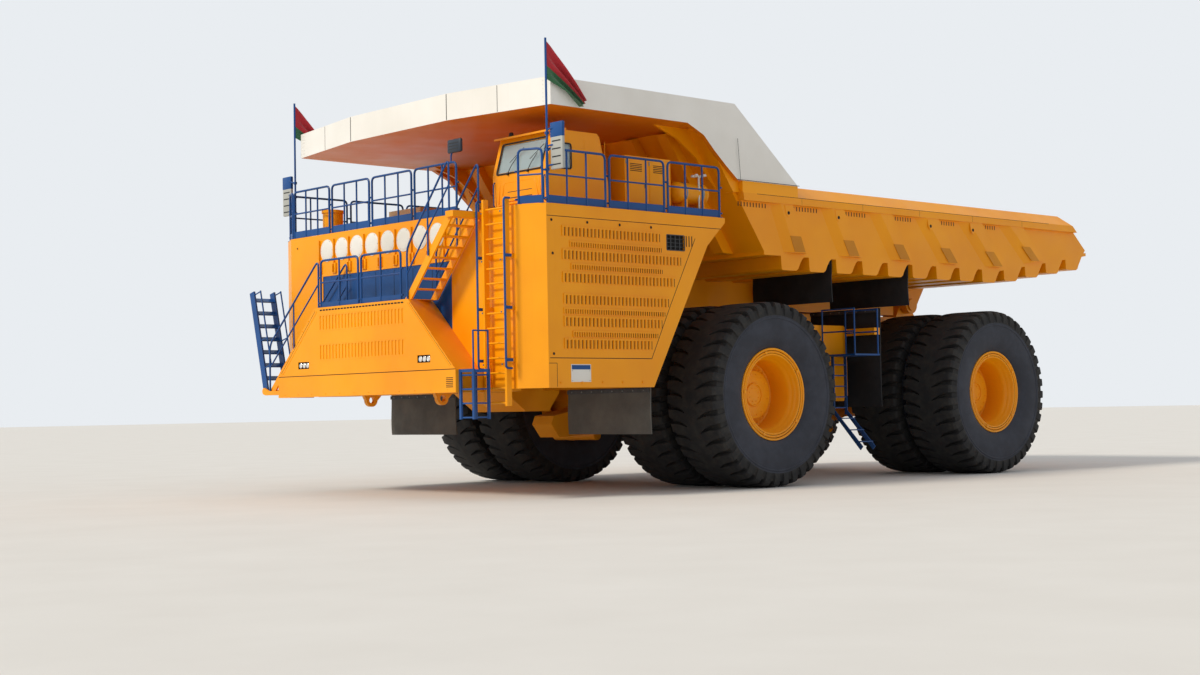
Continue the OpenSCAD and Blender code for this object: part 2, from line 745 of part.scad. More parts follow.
// Small ladder at the left end of the bumper, with two grab rails
module side_ladder() color(blue) {
    x0 = face_x - 460;
    x1 = face_x - 100;
    z0 = bumper_z - 520;
    z1 = bumper_z + bumper_h;
    y0 = bumper_y;
    y1 = bumper_y + 460;
    for (x = [x0, x1]) translate([x, 0, 0]) {
        block([-20, y0, z0], [20, y0 + 60, z1]);
        block([-20, y1 - 60, z0], [20, y1, z1]);
        block([-19, y0 + 30, z1 - 60], [19, y1 - 30, z1 - 1]);
        bar([0, y1 - 30, z1 - 60], [0, y1 - 30, z1 + 740], guard_r - 6);
    }
    for (i = [0:3]) block([x0, y0 + 20, z0 + 20 + i * 270], [x1, y1 - 20, z0 + 50 + i * 270]);
    bar([x0, y1 - 30, z1 + 730], [x1, y1 - 30, z1 + 730], guard_r - 8);
}

// Boarding stair, stowed upright on its hinge
module boarding_stair() color(blue) translate([board_x, board_y, board_hinge_z]) rotate([board_lean, 0, 0]) {
    difference() {
        union() {
            for (s = [-1, 1]) translate([s * (board_w / 2 - 20), 0, 0]) {
                block([-20, -90, 0], [20, 90, board_len]);
                rotate([0, 90, 0]) translate([0, 0, -20]) cylinder(h = 40, r = 90);
            }
            for (i = [1:board_steps])
                translate([0, 0, i * board_len / (board_steps + 0.6)]) rotate([-40, 0, 0])
                    block([21 - board_w / 2, -95, -12], [board_w / 2 - 21, 95, 12]);
            for (s = [-1, 1]) {
                x = s * (board_w / 2 - 20);
                bar([x, 340, 500], [x, 340, board_len - 60], 17);
                for (z = [520, board_len / 2, board_len - 80]) bar([x, 80, z], [x, 340, z], 14);
            }
        }
        rotate([0, 90, 0]) cylinder(h = board_w + 60, r = board_pin_r + run_gap, center = true);
    }
}

module engine_block() color(steel)
    block([wall_x - 600 - engine_l, -engine_w / 2, rail_top], [wall_x - 600, engine_w / 2, rail_top + engine_h]);

// Cab outline at [x, z], drawn in by t
function cab_outline(t) = [[cab_x - cab_base_x + 1.24 * t, deck_z + t], [cab_x - t, deck_z + t],
    [cab_x + 40 - t, deck_z + cab_sill], [roof_front_x + 40 - t, cab_top - 130], [roof_front_x - t, cab_top - t],
    [roof_rear_x + 70 + t / 2, cab_top - t], [roof_rear_x + t, cab_top - 70 - t / 2]];

// Openings of the windscreen, the rear window and the left window, each smaller by g
module cab_windows(g) {
    block([roof_front_x - 150, cab_right_y + 130 + g, deck_z + cab_sill + 40 + g],
        [cab_x + 200, cab_y - 130 - g, cab_top - 170 - g]);
    block([cab_x - cab_base_x, cab_right_y + 350 + g, deck_z + 850 + g],
        [roof_rear_x + 200, cab_y - 350 - g, cab_top - 230 - g]);
    block([cab_x - 620 + g, cab_y - cab_t - cut, deck_z + 810 + g], [cab_x - 260 - g, cab_y + cut, cab_top - 270 - g]);
}

module cab_shell() color(yellow) {
    difference() {
        across(cab_right_y, cab_y) polygon(cab_outline(0));
        across(cab_right_y + cab_t, cab_y - cab_t) polygon(cab_outline(cab_t));
        cab_windows(0);
        block([door_x - door_w, cab_right_y - cut, door_low], [door_x, cab_right_y + cab_t + cut, door_high]);
    }
    across(cab_right_y - 40, cab_y + 20) polygon([[roof_front_x - 300, cab_top - 2], [roof_front_x + 150, cab_top - 62],
        [roof_front_x + 150, cab_top - 22], [roof_front_x - 300, cab_top + 38]]);
}

module cab_glass() color("lightblue") {
    intersection() {
        difference() {
            across(cab_right_y + 50, cab_y - 50) polygon(cab_outline(20));
            across(cab_right_y + 40, cab_y - 40) polygon(cab_outline(20 + glass_t));
        }
        cab_windows(seat);
    }
    block([cab_x - 620 + seat, cab_y - 20 - glass_t, deck_z + 810 + seat],
        [cab_x - 260 - seat, cab_y - 20, cab_top - 270 - seat]);
}

// Door in the cab's right side, hinged at its front edge
module cab_door() color(yellow) {
    y0 = cab_right_y;
    difference() {
        block([door_x - door_w + door_gap, y0, door_low + door_gap],
            [door_x - door_gap, y0 + cab_t, door_high - door_gap]);
        block([door_x - door_w + 120, y0 - cut, deck_z + 820], [door_x - 120, y0 + cab_t + cut, door_high - 110]);
    }
    block([door_x - door_w + 120 + seat, y0 + 24, deck_z + 820 + seat],
        [door_x - 120 - seat, y0 + 24 + glass_t, door_high - 110 - seat]);
    translate([door_x + 6, y0 - hinge_r - seat, door_low + 60])
        cylinder(h = door_high - door_low - 120, r = hinge_r);
    block([door_x - 40, y0 - 12, door_low + 100], [door_x + 6, y0 - seat, door_high - 100]);
    block([door_x - 40, y0 - 12, door_low + 100], [door_x - door_gap - 2, y0 + 1, door_high - 100]);
    block([door_x - door_w + 50, y0 - 45, deck_z + 640], [door_x - door_w + 80, y0 + 1, deck_z + 760]);
}

// Driver's seat, second seat, dash and steering wheel
module cab_interior() color(black) {
    floor_z = deck_z + cab_t;
    for (y = [cab_y - 560, cab_right_y + 480]) {
        translate([cab_x - 1000, y, floor_z]) {
            cylinder(h = 330, r = 120);
            block([-240, -250, 320], [260, 250, 450]);
            block([-300, -240, 380], [-180, 240, 1050]);
        }
    }
    block([cab_x - 420, cab_right_y + 150, floor_z], [cab_x - 110, cab_y - 150, floor_z + 620]);
    translate([cab_x - 470, cab_y - 560, floor_z + 640]) rotate([0, -60, 0]) {
        rotate_extrude() translate([210, 0]) circle(r = 18, $fn = 16);
        translate([0, 0, -140]) cylinder(h = 150, r = 30);
        for (a = [0:120:240]) rotate([0, 0, a]) translate([0, -14, -8]) cube([205, 28, 16]);
    }
}

module deck_cabinet() color(yellow) block([box_x[0], box_y[0], deck_z], [box_x[1], box_y[1], deck_z + box_h]);

// Round air tank on two saddles
module air_tank() color(yellow) {
    x0 = deck_rear_x + 30;
    y = cab_y + 50;
    z = deck_z + 530;
    translate([x0, y, z]) rotate([0, 90, 0]) cylinder(h = 980, r = tank_r);
    for (x = [x0 + 150, x0 + 700]) block([x, y - 180, deck_z], [x + 90, y + 180, z - tank_r * 0.6]);
}

module filter_drum() color(yellow) {
    translate([drum_x, drum_y, deck_z]) cylinder(h = 520, r = 225);
    translate([drum_x, drum_y, deck_z + 510]) cylinder(h = 60, r = 250);
}

module resistor_cabinet() color(beige)
    block([cabinet_x[0], cabinet_y[0], deck_z], [cabinet_x[1], cabinet_y[1], deck_z + cabinet_h]);

// Mirrors: one outside each flagpole, and one on the front guard's end post
module mirrors() color(black) {
    both_sides() {
        block([pole_x - 40, mirror_in_y, mirror_low], [pole_x + 40, mirror_y, mirror_top]);
        for (z = [mirror_low + 80, mirror_top - 140])
            bar([pole_x, pole_y + pole_r + seat, z], [pole_x, mirror_in_y + 60, z], 16);
    }
    translate([wall_x - 50, front_mirror_y - guard_corner - guard_gap, deck_z + guard_h]) {
        block([-40, -90, 150], [40, 360, 440]);
        translate([0, 0, guard_r + seat]) cylinder(h = 160, r = 18);
    }
}

module flagpoles() color(steel) both_sides()
    translate([pole_x, pole_y, deck_z]) cylinder(h = pole_z - deck_z, r = pole_r, $fn = 24);

// Drooping flags, simple thin sheets
module flags() color("#B3202C") both_sides() across(pole_y - 6, pole_y + 6)
    polygon([[flag_x, pole_z - 60], [flag_x - 500, pole_z - 520], [flag_x - 980, pole_z - 1120],
        [flag_x - 900, pole_z - 1300], [flag_x - 420, pole_z - 1080], [flag_x, pole_z - 800]]);

module fuel_tanks() color(yellow) both_sides() {
    block([flap_x, tank_y + 20, flap_top - 640], [mid_box_x - 1440, flap_end_y, flap_top - 480]);
    across(tank_y, tank_y + 1250) polygon([[mid_box_x - 1300, 1820], [mid_box_x - 1450, 1950],
        [mid_box_x - 1450, 3500], [mid_box_x - 1350, 3600], [mid_box_x - 100, 3600], [mid_box_x, 3500],
        [mid_box_x, 1950], [mid_box_x - 150, 1820]]);
}

module mud_flaps() color(black) both_sides() {
    block([flap_x - flap_t, flap_y, 1660], [flap_x, flap_end_y, flap_top]);
    block([wall_x - wall_low_x + 15, flap_y + 300, housing_z - 950],
        [wall_x - wall_low_x + 15 + flap_t, housing_y - 100, housing_z]);
}

// Flaps that hang under the bed over the tyres
module bed_flaps() color(black) both_sides()
    for (i = [1.5, 4.5]) translate([rib_first_x - i * rib_pitch - flap_t / 2, 0, 0])
        block([0, flap_y + 150, rail_top + 40], [flap_t, bed_y - 200, bed_z]);

// Ladder and landing between the tyres on the left side
module middle_ladder() color(blue) {
    x0 = mid_box_x - 1380;
    x1 = mid_box_x - 480;
    y0 = tank_y + 1250;
    z = 2900;
    block([x0, y0, z - 40], [x1, y0 + 1050, z]);
    for (x = [x0 + 30, x1 - 30]) translate([x, 0, 0]) {
        bar([0, y0 + 1020, z - 10], [0, y0 + 1020, z + 1050], guard_r - 4);
        bar([0, y0 + 60, z - 10], [0, y0 + 60, z + 1050], guard_r - 4);
        bar([0, y0 + 50, z + 1040], [0, y0 + 1030, z + 1040], guard_r - 5);
        bar([0, y0 + 50, z + 520], [0, y0 + 1030, z + 520], guard_r - 6);
    }
    // hanging ladder and the slanted foot of it
    for (x = [x0 + 200, x0 + 650]) {
        block([x - 15, y0 + 130, 1500], [x + 15, y0 + 200, z - 20]);
        along(x - 15, x + 15) polygon([[y0 + 130, 1560], [y0 + 200, 1600], [y0 + 1010, 760], [y0 + 940, 680]]);
    }
    for (i = [0:4]) block([x0 + 205, y0 + 140, 1650 + i * 250], [x0 + 645, y0 + 190, 1680 + i * 250]);
    for (i = [0:2])
        block([x0 + 205, y0 + 250 + i * 260, 1400 - i * 270], [x0 + 645, y0 + 430 + i * 260, 1425 - i * 270]);
}

// Axle: case, spindles, suspension struts, turntable, king pin and the nose for the steering
module axle(x) translate([x, 0, 0]) {
    cross_bar(0, tyre_r, -axle_case_y, axle_case_y, axle_case_r);
    cross_bar(0, tyre_r, -spindle_y, spindle_y, spindle_r);
    cross_bar(0, tyre_r, -hub_y - 15, hub_y + 15, spindle_end_r);
    for (sx = [-1, 1], sy = [-1, 1]) translate([sx * 380, sy * 560, tyre_r])
        cylinder(h = rail_z - tyre_r - turntable_t / 2, r = strut_r);
    translate([0, 0, rail_z - turntable_t]) cylinder(h = turntable_t - seat, r = turntable_r);
    translate([0, 0, rail_z - turntable_t - 10]) cylinder(h = king_h + turntable_t, r = king_pin_r);
    across(-330, 330) polygon([[0, tyre_r - 450], [0, tyre_r + 200], [axle_nose - 700, tyre_r - 250],
        [axle_nose, tyre_r - 380], [axle_nose + 80, tyre_r - 560], [axle_nose - 150, tyre_r - 860],
        [axle_nose - 900, tyre_r - 820]]);
    cross_bar(axle_nose - 950, tyre_r - 830, -700, 700, 110);
}

module front_axle() color(yellow) axle(front_axle_x);
module rear_axle() color(yellow) axle(rear_axle_x);

// Turns a profile drawn as [radius, y] about the wheel's axle
module wheel_turn(x, side) translate([x, 0, tyre_r]) mirror([0, side < 0 ? 1 : 0, 0])
    rotate([-90, 0, 0]) rotate_extrude($fn = 96) children();

// A tyre is rings of corners about its axle, one ring a step of the lugs, so it stays light to draw.
// Columns of lug_steps: share of the pitch, share of the tread's height
lug_steps = [[0, 0], [0.25, 1], [0.75, 1]];
function tyre_ring(h) = let (w = tyre_w / 2, b = bead_w / 2 - seat, bead_r = rim_r + flange_h + 15,
    bore_r = (rim_r + seat) / cos(90 / lug_n), r = tyre_r - tread_h + h)
    [[bore_r, -b], [bead_r, -b], [tyre_r - bulge_in, -w], [r, shoulder_w - w],
     [r, w - shoulder_w], [tyre_r - bulge_in, w], [bead_r, b], [bore_r, b]];
module tyre(x, side, y) {
    n = len(lug_steps) * lug_n;
    corners = [for (i = [0:lug_n - 1], s = lug_steps, p = tyre_ring(s[1] * tread_h))
        let (a = (i + s[0] - 0.25) * 360 / lug_n) [p[0] * sin(a), p[1], -p[0] * cos(a)]];
    faces = [for (i = [0:n - 1], k = [0:7])
        let (j = (i + 1) % n, m = (k + 1) % 8, a = i * 8 + k, b = j * 8 + k, c = j * 8 + m, d = i * 8 + m)
        each k == 2 || k == 4 ? [[a, b, c], [a, c, d]] : [[a, b, c, d]]];
    translate([x, side * y, tyre_r]) polyhedron(corners, faces);
}

module tyre_pair(x, side) color(tyre_grey) for (y = [tyre_inner_y, tyre_outer_y]) tyre(x, side, y);

// Twin rim with its hub plate and cover, closed over the spindle's end
module rim_pair(x, side) color(yellow) wheel_turn(x, side) {
    a = tyre_inner_y - rim_half;
    b = tyre_inner_y + rim_half;
    c = tyre_outer_y - rim_half;
    d = rim_edge_y;
    f = rim_r + flange_h;
    polygon([[barrel_r, a], [f, a], [f, a + flange_w], [rim_r, a + flange_w], [rim_r, b - flange_w], [f, b - flange_w],
        [f, b], [rim_r - 2 * rim_t, b], [rim_r - 2 * rim_t, c], [f, c], [f, c + flange_w], [rim_r, c + flange_w],
        [rim_r, d - flange_w], [f, d - flange_w], [f, d], [rim_r - rim_t, d], [rim_r - rim_t, d - 110],
        [barrel_r + 60, d - 150], [barrel_r, d - 210], [barrel_r, hub_y], [hub_cap_r, hub_y],
        [hub_cap_r - 50, hub_y + hub_cap_h], [0, hub_y + hub_cap_h], [0, hub_y + hub_cap_h - 60],
        [spindle_end_r + 60, hub_y + hub_cap_h - 60], [spindle_end_r + 60, hub_y], [spindle_end_r + run_gap, hub_y],
        [spindle_end_r + run_gap, hub_y - hub_plate_t], [barrel_r, hub_y - hub_plate_t]]);
}

module tyres_front_left() tyre_pair(front_axle_x, 1);
module tyres_front_right() tyre_pair(front_axle_x, -1);
module tyres_rear_left() tyre_pair(rear_axle_x, 1);
module tyres_rear_right() tyre_pair(rear_axle_x, -1);
module rims_front_left() rim_pair(front_axle_x, 1);
module rims_front_right() rim_pair(front_axle_x, -1);
module rims_rear_left() rim_pair(rear_axle_x, 1);
module rims_rear_right() rim_pair(rear_axle_x, -1);

// Height of the bed floor's underside at x
function floor_z(x) = bed_z + max(0, bed_kink_x - x) * tail_rise / (bed_kink_x - tail_x);

// Outline of a cross rib under the floor: upright in front, swept up behind
function rib_outline(x) = let (z = floor_z(x), w = rib_top_w, rear = x - w / 2, front = x + w / 2) [
    [rear, floor_z(rear) + 10], [x - 0.4 * w, z - 0.16 * rib_h], [x - 0.3 * w, z - 0.5 * rib_h],
    [x - 0.22 * w, z - 0.86 * rib_h], [x - 0.13 * w, z - rib_h], [front - 50, z - rib_h],
    [front - 20, z - 0.9 * rib_h], [front, floor_z(front) + 10]];

// Bed floor with its cross ribs, long beams, hinge ears and hoist pins
module bed_floor() color(yellow) {
    difference() {
        union() {
            intersection() {
                across(-bed_in_y, bed_in_y) {
                    polygon([[tail_x, floor_z(tail_x)], [bed_kink_x, bed_z], [bed_front_x, bed_z],
                        [bed_front_x, bed_z + bed_t], [bed_kink_x, bed_z + bed_t],
                        [tail_x, floor_z(tail_x) + bed_t]]);
                    for (i = [0:rib_n - 1]) polygon(rib_outline(rib_first_x - i * rib_pitch));
                }
                translate([0, 0, bed_z - rib_h - cut]) linear_extrude(rib_h + tail_rise + bed_t + 2 * cut)
                    polygon([[bed_front_x + cut, -bed_y], [side_end_x, -bed_y], [tail_x, -tail_half_w],
                        [tail_x, tail_half_w], [side_end_x, bed_y], [bed_front_x + cut, bed_y]]);
            }
            both_sides() {
                block([hinge_x + 450, frame_y - rail_w + 50, beam_z], [bed_front_x - 450, frame_y - 40, bed_z + 20]);
                across(ear_y, ear_y + ear_w) {
                    translate([hinge_x, hinge_z]) circle(r = hinge_boss_r - 20);
                    polygon([[hinge_x - 700, bed_z + 20], [hinge_x - 200, hinge_z - 40], [hinge_x + 220, hinge_z - 60],
                        [hinge_x + 900, bed_z + 20]]);
                }
                cross_bar(hoist_eye_x, hoist_eye_z, frame_y - 60, hoist_y - eye_w / 2 - 6, hoist_pin_r + 50);
            }
        }
        both_sides() cross_bar(hinge_x, hinge_z, ear_y - cut, ear_y + ear_w + cut, hinge_pin_r + run_gap);
    }
}

// Side walls with the bevelled top rail and leaning ribs
module bed_sides() color(yellow) both_sides() {
    intersection() {
        union() {
            across(bed_in_y - bed_t, bed_in_y) polygon(side_outline());
            for (i = [0:side_rib_n - 1]) side_rib(bed_front_x - 190 - i * 1690, bed_front_x - 630 - i * 1858);
        }
        across(0, bed_y + 10) polygon(side_outline());
        block([tail_x, 0, bed_z], [face_x, bed_y + 10, bed_top_z - 380]);
    }
    difference() {
        intersection() {
            along(tail_x, bed_front_x + 800) polygon([[bed_y, bed_top_z - 420], [bed_y, bed_top_z - rail_bevel],
                [bed_y - rail_bevel, bed_top_z], [bed_y - side_rail_w, bed_top_z], [bed_y - side_rail_w, bed_top_z - 420]]);
            across(0, bed_y + 10) polygon(side_outline());
        }
        across(-cut, bed_in_y - bed_t) polygon(front_plate(cut));
    }
}

// A leaning rib with a sloped front face, from the floor at low_x up to the rail at high_x
module side_rib(high_x, low_x) {
    rise = bed_top_z - 400 - bed_z - bed_t;
    lean = atan2(high_x - low_x, rise);
    translate([low_x, 0, bed_z + bed_t]) rotate([0, lean, 0]) translate([0, 0, -400])
        linear_extrude(rise / cos(lean) + 700) polygon([[0, bed_in_y - 1], [-side_rib_slant, bed_y - 15],
            [-side_rib_slant - side_rib_w, bed_y - 15], [-side_rib_slant - side_rib_w - 40, bed_in_y - 1]]);
}

function side_outline() = [[bed_front_x, bed_z + bed_t], [bed_front_x + 700, bed_z + bed_t + 980], [rail_end_x, bed_top_z],
    [side_end_x + 1030, bed_top_z], [side_end_x, bed_top_z - 860], [side_end_x + 80, floor_z(side_end_x + 80) + bed_t],
    [bed_kink_x, bed_z + bed_t]];

// Outline of the front wall's plate, its foot lengthened by g
function front_plate(g) = let (z0 = bed_z + bed_t, h = canopy_z - canopy_h - z0, run = h * bed_slope) [
    [bed_front_x - 100 - g * bed_slope, z0 - g], [bed_front_x, z0 - g], [bed_front_x + run, z0 + h],
    [bed_front_x + run - 120, z0 + h]];

// The bed's front wall leans forwards up to the canopy
module bed_front() color(yellow) {
    y = bed_in_y - bed_t;
    z0 = bed_z + bed_t;
    h = canopy_z - canopy_h - z0;
    run = h * bed_slope;
    across(-y, y) polygon(front_plate(0));
    for (i = [0:6]) across((i - 3) * front_rib_pitch - front_rib_w / 2, (i - 3) * front_rib_pitch + front_rib_w / 2)
        polygon([[bed_front_x - 10, z0], [bed_front_x + front_rib_h, z0 + 20],
            [bed_front_x + run + front_rib_h * 0.6, z0 + h - 60], [bed_front_x + run - 10, z0 + h]]);
    for (s = [-1, 1]) across(s * 3800 - 30, s * 3800 + 30) polygon([[bed_front_x + run * 0.5, z0 + h * 0.5],
        [bed_front_x + run * 0.66, z0 + h * 0.6], [bed_front_x + run * 0.86, z0 + h * 0.77],
        [bed_front_x + run + 300, z0 + h * 0.91], [bed_front_x + run + 950, z0 + h], [bed_front_x + run - 20, z0 + h]]);
}

// Canopy over the deck with its two wings down to the bed's rails
module canopy() color(white) {
    z0 = canopy_z - canopy_h;
    front = face_x - canopy_setback;
    rear = bed_front_x + 950;
    translate([0, 0, z0]) linear_extrude(canopy_h) polygon([[rear, -bed_y], [front - canopy_sweep, -bed_y],
        [front, -canopy_nose_y], [front, canopy_nose_y], [front - canopy_sweep, bed_y], [rear, bed_y]]);
    both_sides() difference() {
        across(bed_y - 120, bed_y) polygon([[rear + 200, canopy_z], [rear, canopy_z], [rear - 540, canopy_z - 440],
            [bed_front_x - 1020, bed_top_z], [bed_front_x - 1020, bed_top_z - rail_bevel],
            [rail_end_x, bed_top_z - rail_bevel], [rail_end_x, bed_top_z], [bed_front_x + 900, bed_top_z],
            [bed_front_x + 1270, bed_top_z + 290], [bed_front_x + 1600, bed_top_z + 570],
            [bed_front_x + 1900, bed_top_z + 860], [bed_front_x + 2380, z0 + 1]]);
        along(bed_front_x - 1020 - cut, rail_end_x + cut) polygon([[bed_y + rail_bevel, bed_top_z - 2 * rail_bevel],
            [bed_y - rail_bevel, bed_top_z], [bed_y - rail_bevel, bed_top_z - 2 * rail_bevel]]);
    }
}

// Places a hoist's parts on the line from its lower pin to its upper eye
module hoist(side) translate([hoist_base_x, side * hoist_y, hoist_base_z]) rotate([0, -hoist_lean, 0]) children();

module hoist_eye(z) translate([0, eye_w / 2, z]) rotate([90, 0, 0]) cylinder(h = eye_w, r = eye_r);
module hoist_bore(z) translate([0, eye_w / 2 + cut, z]) rotate([90, 0, 0])
    cylinder(h = eye_w + 2 * cut, r = hoist_pin_r + run_gap);

module hoist_barrel() difference() {
    union() {
        hoist_eye(0);
        translate([0, 0, eye_r - 25]) cylinder(h = barrel_top - eye_r + 25, r = hoist_r);
    }
    hoist_bore(0);
    translate([0, 0, stage_low - 40]) cylinder(h = barrel_top, r = stage_r + run_gap);
}

module hoist_stage() difference() {
    translate([0, 0, stage_low]) cylinder(h = barrel_top + 80 - stage_low, r = stage_r);
    translate([0, 0, stage_low + 40]) cylinder(h = barrel_top, r = rod_r + run_gap);
}

module hoist_rod(side) {
    translate([0, 0, stage_low + 80]) cylinder(h = hoist_len - stage_low - 80 - eye_r + 40, r = rod_r);
    hoist_eye(hoist_len);
    translate([0, side * (eye_w / 2 + 15), hoist_len]) rotate([90, 0, 0])
        cylinder(h = 50, r = hoist_pin_r + 20, center = true);
}

module hoist_barrel_left() color(steel) hoist(1) hoist_barrel();
module hoist_barrel_right() color(steel) hoist(-1) hoist_barrel();
module hoist_stage_left() color(steel) hoist(1) hoist_stage();
module hoist_stage_right() color(steel) hoist(-1) hoist_stage();
module hoist_rod_left() color(steel) hoist(1) hoist_rod(1);
module hoist_rod_right() color(steel) hoist(-1) hoist_rod(-1);

frame_rails();
front_beam();
grille_housing();
headlamps();
front_wall();
radiator_panel();
intake_covers();
housing_left();
housing_right();
deck_plate();
deck_guards();
walkway_guards();
front_stairs();
tall_ladder();
side_ladder();
boarding_stair();
engine_block();
cab_shell();
cab_glass();
cab_door();
cab_interior();
deck_cabinet();
air_tank();
filter_drum();
resistor_cabinet();
mirrors();
flagpoles();
flags();
fuel_tanks();
mud_flaps();
middle_ladder();
front_axle();
rear_axle();
tyres_front_left();
tyres_front_right();
tyres_rear_left();
tyres_rear_right();
rims_front_left();
rims_front_right();
rims_rear_left();
rims_rear_right();
bed_floor();
bed_sides();
bed_front();
canopy();
bed_flaps();
hoist_barrel_left();
hoist_barrel_right();
hoist_stage_left();
hoist_stage_right();
hoist_rod_left();
hoist_rod_right();
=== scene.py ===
# %% [markdown]
# # A mining dump truck
# The truck's frame, axles, walls and bed come ready-made, at their real size, as a fixed model.
# This lesson dresses them: it gives every surface its paint, rubber or glass, and it adds the pieces
# that a plain model leaves out, such as tyre lugs, louvre slits drawn as painted shade, bolts, bent handrails
# and cloth flags.
# Lengths are in metres, +X is forwards, +Y is the truck's left and +Z is up.

import math

import bmesh
import bpy
from mathutils import Matrix, Vector


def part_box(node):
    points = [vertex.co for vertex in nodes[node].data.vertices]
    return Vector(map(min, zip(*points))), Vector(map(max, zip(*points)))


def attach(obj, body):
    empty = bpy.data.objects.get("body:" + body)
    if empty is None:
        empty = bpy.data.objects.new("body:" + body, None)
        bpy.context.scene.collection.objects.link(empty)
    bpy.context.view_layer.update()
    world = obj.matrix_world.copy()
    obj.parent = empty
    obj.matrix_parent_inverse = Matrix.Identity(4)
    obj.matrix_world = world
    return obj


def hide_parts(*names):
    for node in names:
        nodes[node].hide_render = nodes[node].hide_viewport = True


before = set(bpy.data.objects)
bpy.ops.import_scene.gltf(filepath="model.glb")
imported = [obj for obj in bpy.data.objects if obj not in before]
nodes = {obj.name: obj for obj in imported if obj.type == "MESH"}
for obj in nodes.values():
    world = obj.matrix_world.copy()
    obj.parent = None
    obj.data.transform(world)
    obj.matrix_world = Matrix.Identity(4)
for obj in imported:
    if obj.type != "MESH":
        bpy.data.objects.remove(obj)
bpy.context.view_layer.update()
scene = bpy.context.scene

# %% [markdown]
# ## The camera
# The photograph was taken by someone standing on the ground, ahead of the truck and to its left.
# Three directions describe the camera: where it looks, its right and its up. They are the columns
# of a rotation matrix, because a Blender camera looks along its own -Z axis.

# %% Camera
CAMERA_PLACE = Vector((30.599, 29.599, 1.718))
LOOKS_ALONG = Vector((-0.67229342, -0.73912107, 0.04149227))
CAMERA_RIGHT = Vector((-0.74014603, 0.6721959, -0.01834445))
CAMERA_UP = CAMERA_RIGHT.cross(LOOKS_ALONG)
LENS_MM = 52.15

camera = bpy.data.objects.new("camera", bpy.data.cameras.new("camera"))
camera.data.lens = LENS_MM
camera.data.sensor_width = 36
camera.data.clip_end = 2000
turn = Matrix((CAMERA_RIGHT, CAMERA_UP, -LOOKS_ALONG)).transposed().to_4x4()
camera.matrix_world = Matrix.Translation(CAMERA_PLACE) @ turn
scene.collection.objects.link(camera)
scene.camera = camera
print("the camera looks from", [round(v, 1) for v in CAMERA_PLACE])

# %% [markdown]
# ## Colour and node helpers
# Colours are easiest to choose as hex values, the way paint charts and web pages give them. Blender
# computes with linear light, so one function turns a hex value into linear numbers. A second one adds
# a shader node, sets it up and links it in one call. The last three are steps that most finishes share:
# a number that wanders over the surface, a colour laid over the one below it, and fine grain.

# %% Helpers for colours and nodes
def srgb(text):
    channels = [int(text[i:i + 2], 16) / 255 for i in (1, 3, 5)]
    linear = [c / 12.92 if c <= 0.04045 else ((c + 0.055) / 1.055) ** 2.4 for c in channels]
    return (*linear, 1.0)


def add_node(tree, kind, inputs=None, **settings):
    made = tree.nodes.new(kind)
    for name, value in settings.items():
        setattr(made, name, value)
    for key, value in (inputs or {}).items():
        if isinstance(value, bpy.types.NodeSocket):
            tree.links.new(value, made.inputs[key])
        else:
            made.inputs[key].default_value = value
    return made


def new_material(name, **values):
    material = bpy.data.materials.new(name)
    material.use_nodes = True
    shader = material.node_tree.nodes["Principled BSDF"]
    for key, value in values.items():
        shader.inputs[key.replace("_", " ")].default_value = value
    return material, material.node_tree, shader


def wander(tree, per_metre, span=(0, 1), values=(0, 1), detail=4, stretch=(1, 1, 1), roughness=0.55):
    """A number that wanders over the surface: the noise within span is spread over the values."""
    place = add_node(tree, "ShaderNodeTexCoord").outputs["Object"]
    scaled = add_node(tree, "ShaderNodeMapping", {"Vector": place, "Scale": stretch}).outputs[0]
    noise = add_node(tree, "ShaderNodeTexNoise", {"Vector": scaled, "Scale": per_metre, "Detail": detail,
                                                  "Roughness": roughness}).outputs["Fac"]
    return add_node(tree, "ShaderNodeMapRange", {"Value": noise, "From Min": span[0], "From Max": span[1],
                                                 "To Min": values[0], "To Max": values[1]}).outputs[0]


def lay_over(tree, shader, share, colour):
    """Lays a colour over what the shader has so far, wholly where share is 1."""
    base = shader.inputs["Base Color"]
    so_far = base.links[0].from_socket if base.links else base.default_value[:]
    mixed = add_node(tree, "ShaderNodeMix", {0: share, 6: so_far, 7: srgb(colour)}, data_type="RGBA")
    tree.links.new(mixed.outputs[2], base)


def add_grain(tree, shader, per_metre, detail, millimetres):
    """Fine unevenness that bends the light, as deep as millimetres."""
    height = wander(tree, per_metre, detail=detail)
    bump = add_node(tree, "ShaderNodeBump", {"Height": height, "Distance": millimetres / 1000})
    tree.links.new(bump.outputs[0], shader.inputs["Normal"])


print("the yellow of the paint is", [round(c, 3) for c in srgb("#F7A200")[:3]], "in linear light")

# %% [markdown]
# ## Light, sky and ground
# The photograph has a bright, slightly veiled sky and a sun ahead of the truck, so the grille is
# brighter than the side. A world of even light stands for the sky, one soft sun gives the difference
# between the faces, and the ground is one pale plane that keeps the truck's shadow.

# %% World, sun and ground
SKY_SEEN = "#E9EDF1"
SKY_LIGHT = 0.62
SUN_LIGHT = 2.3
SUN_FROM = Vector((0.80, -0.12, 0.62))

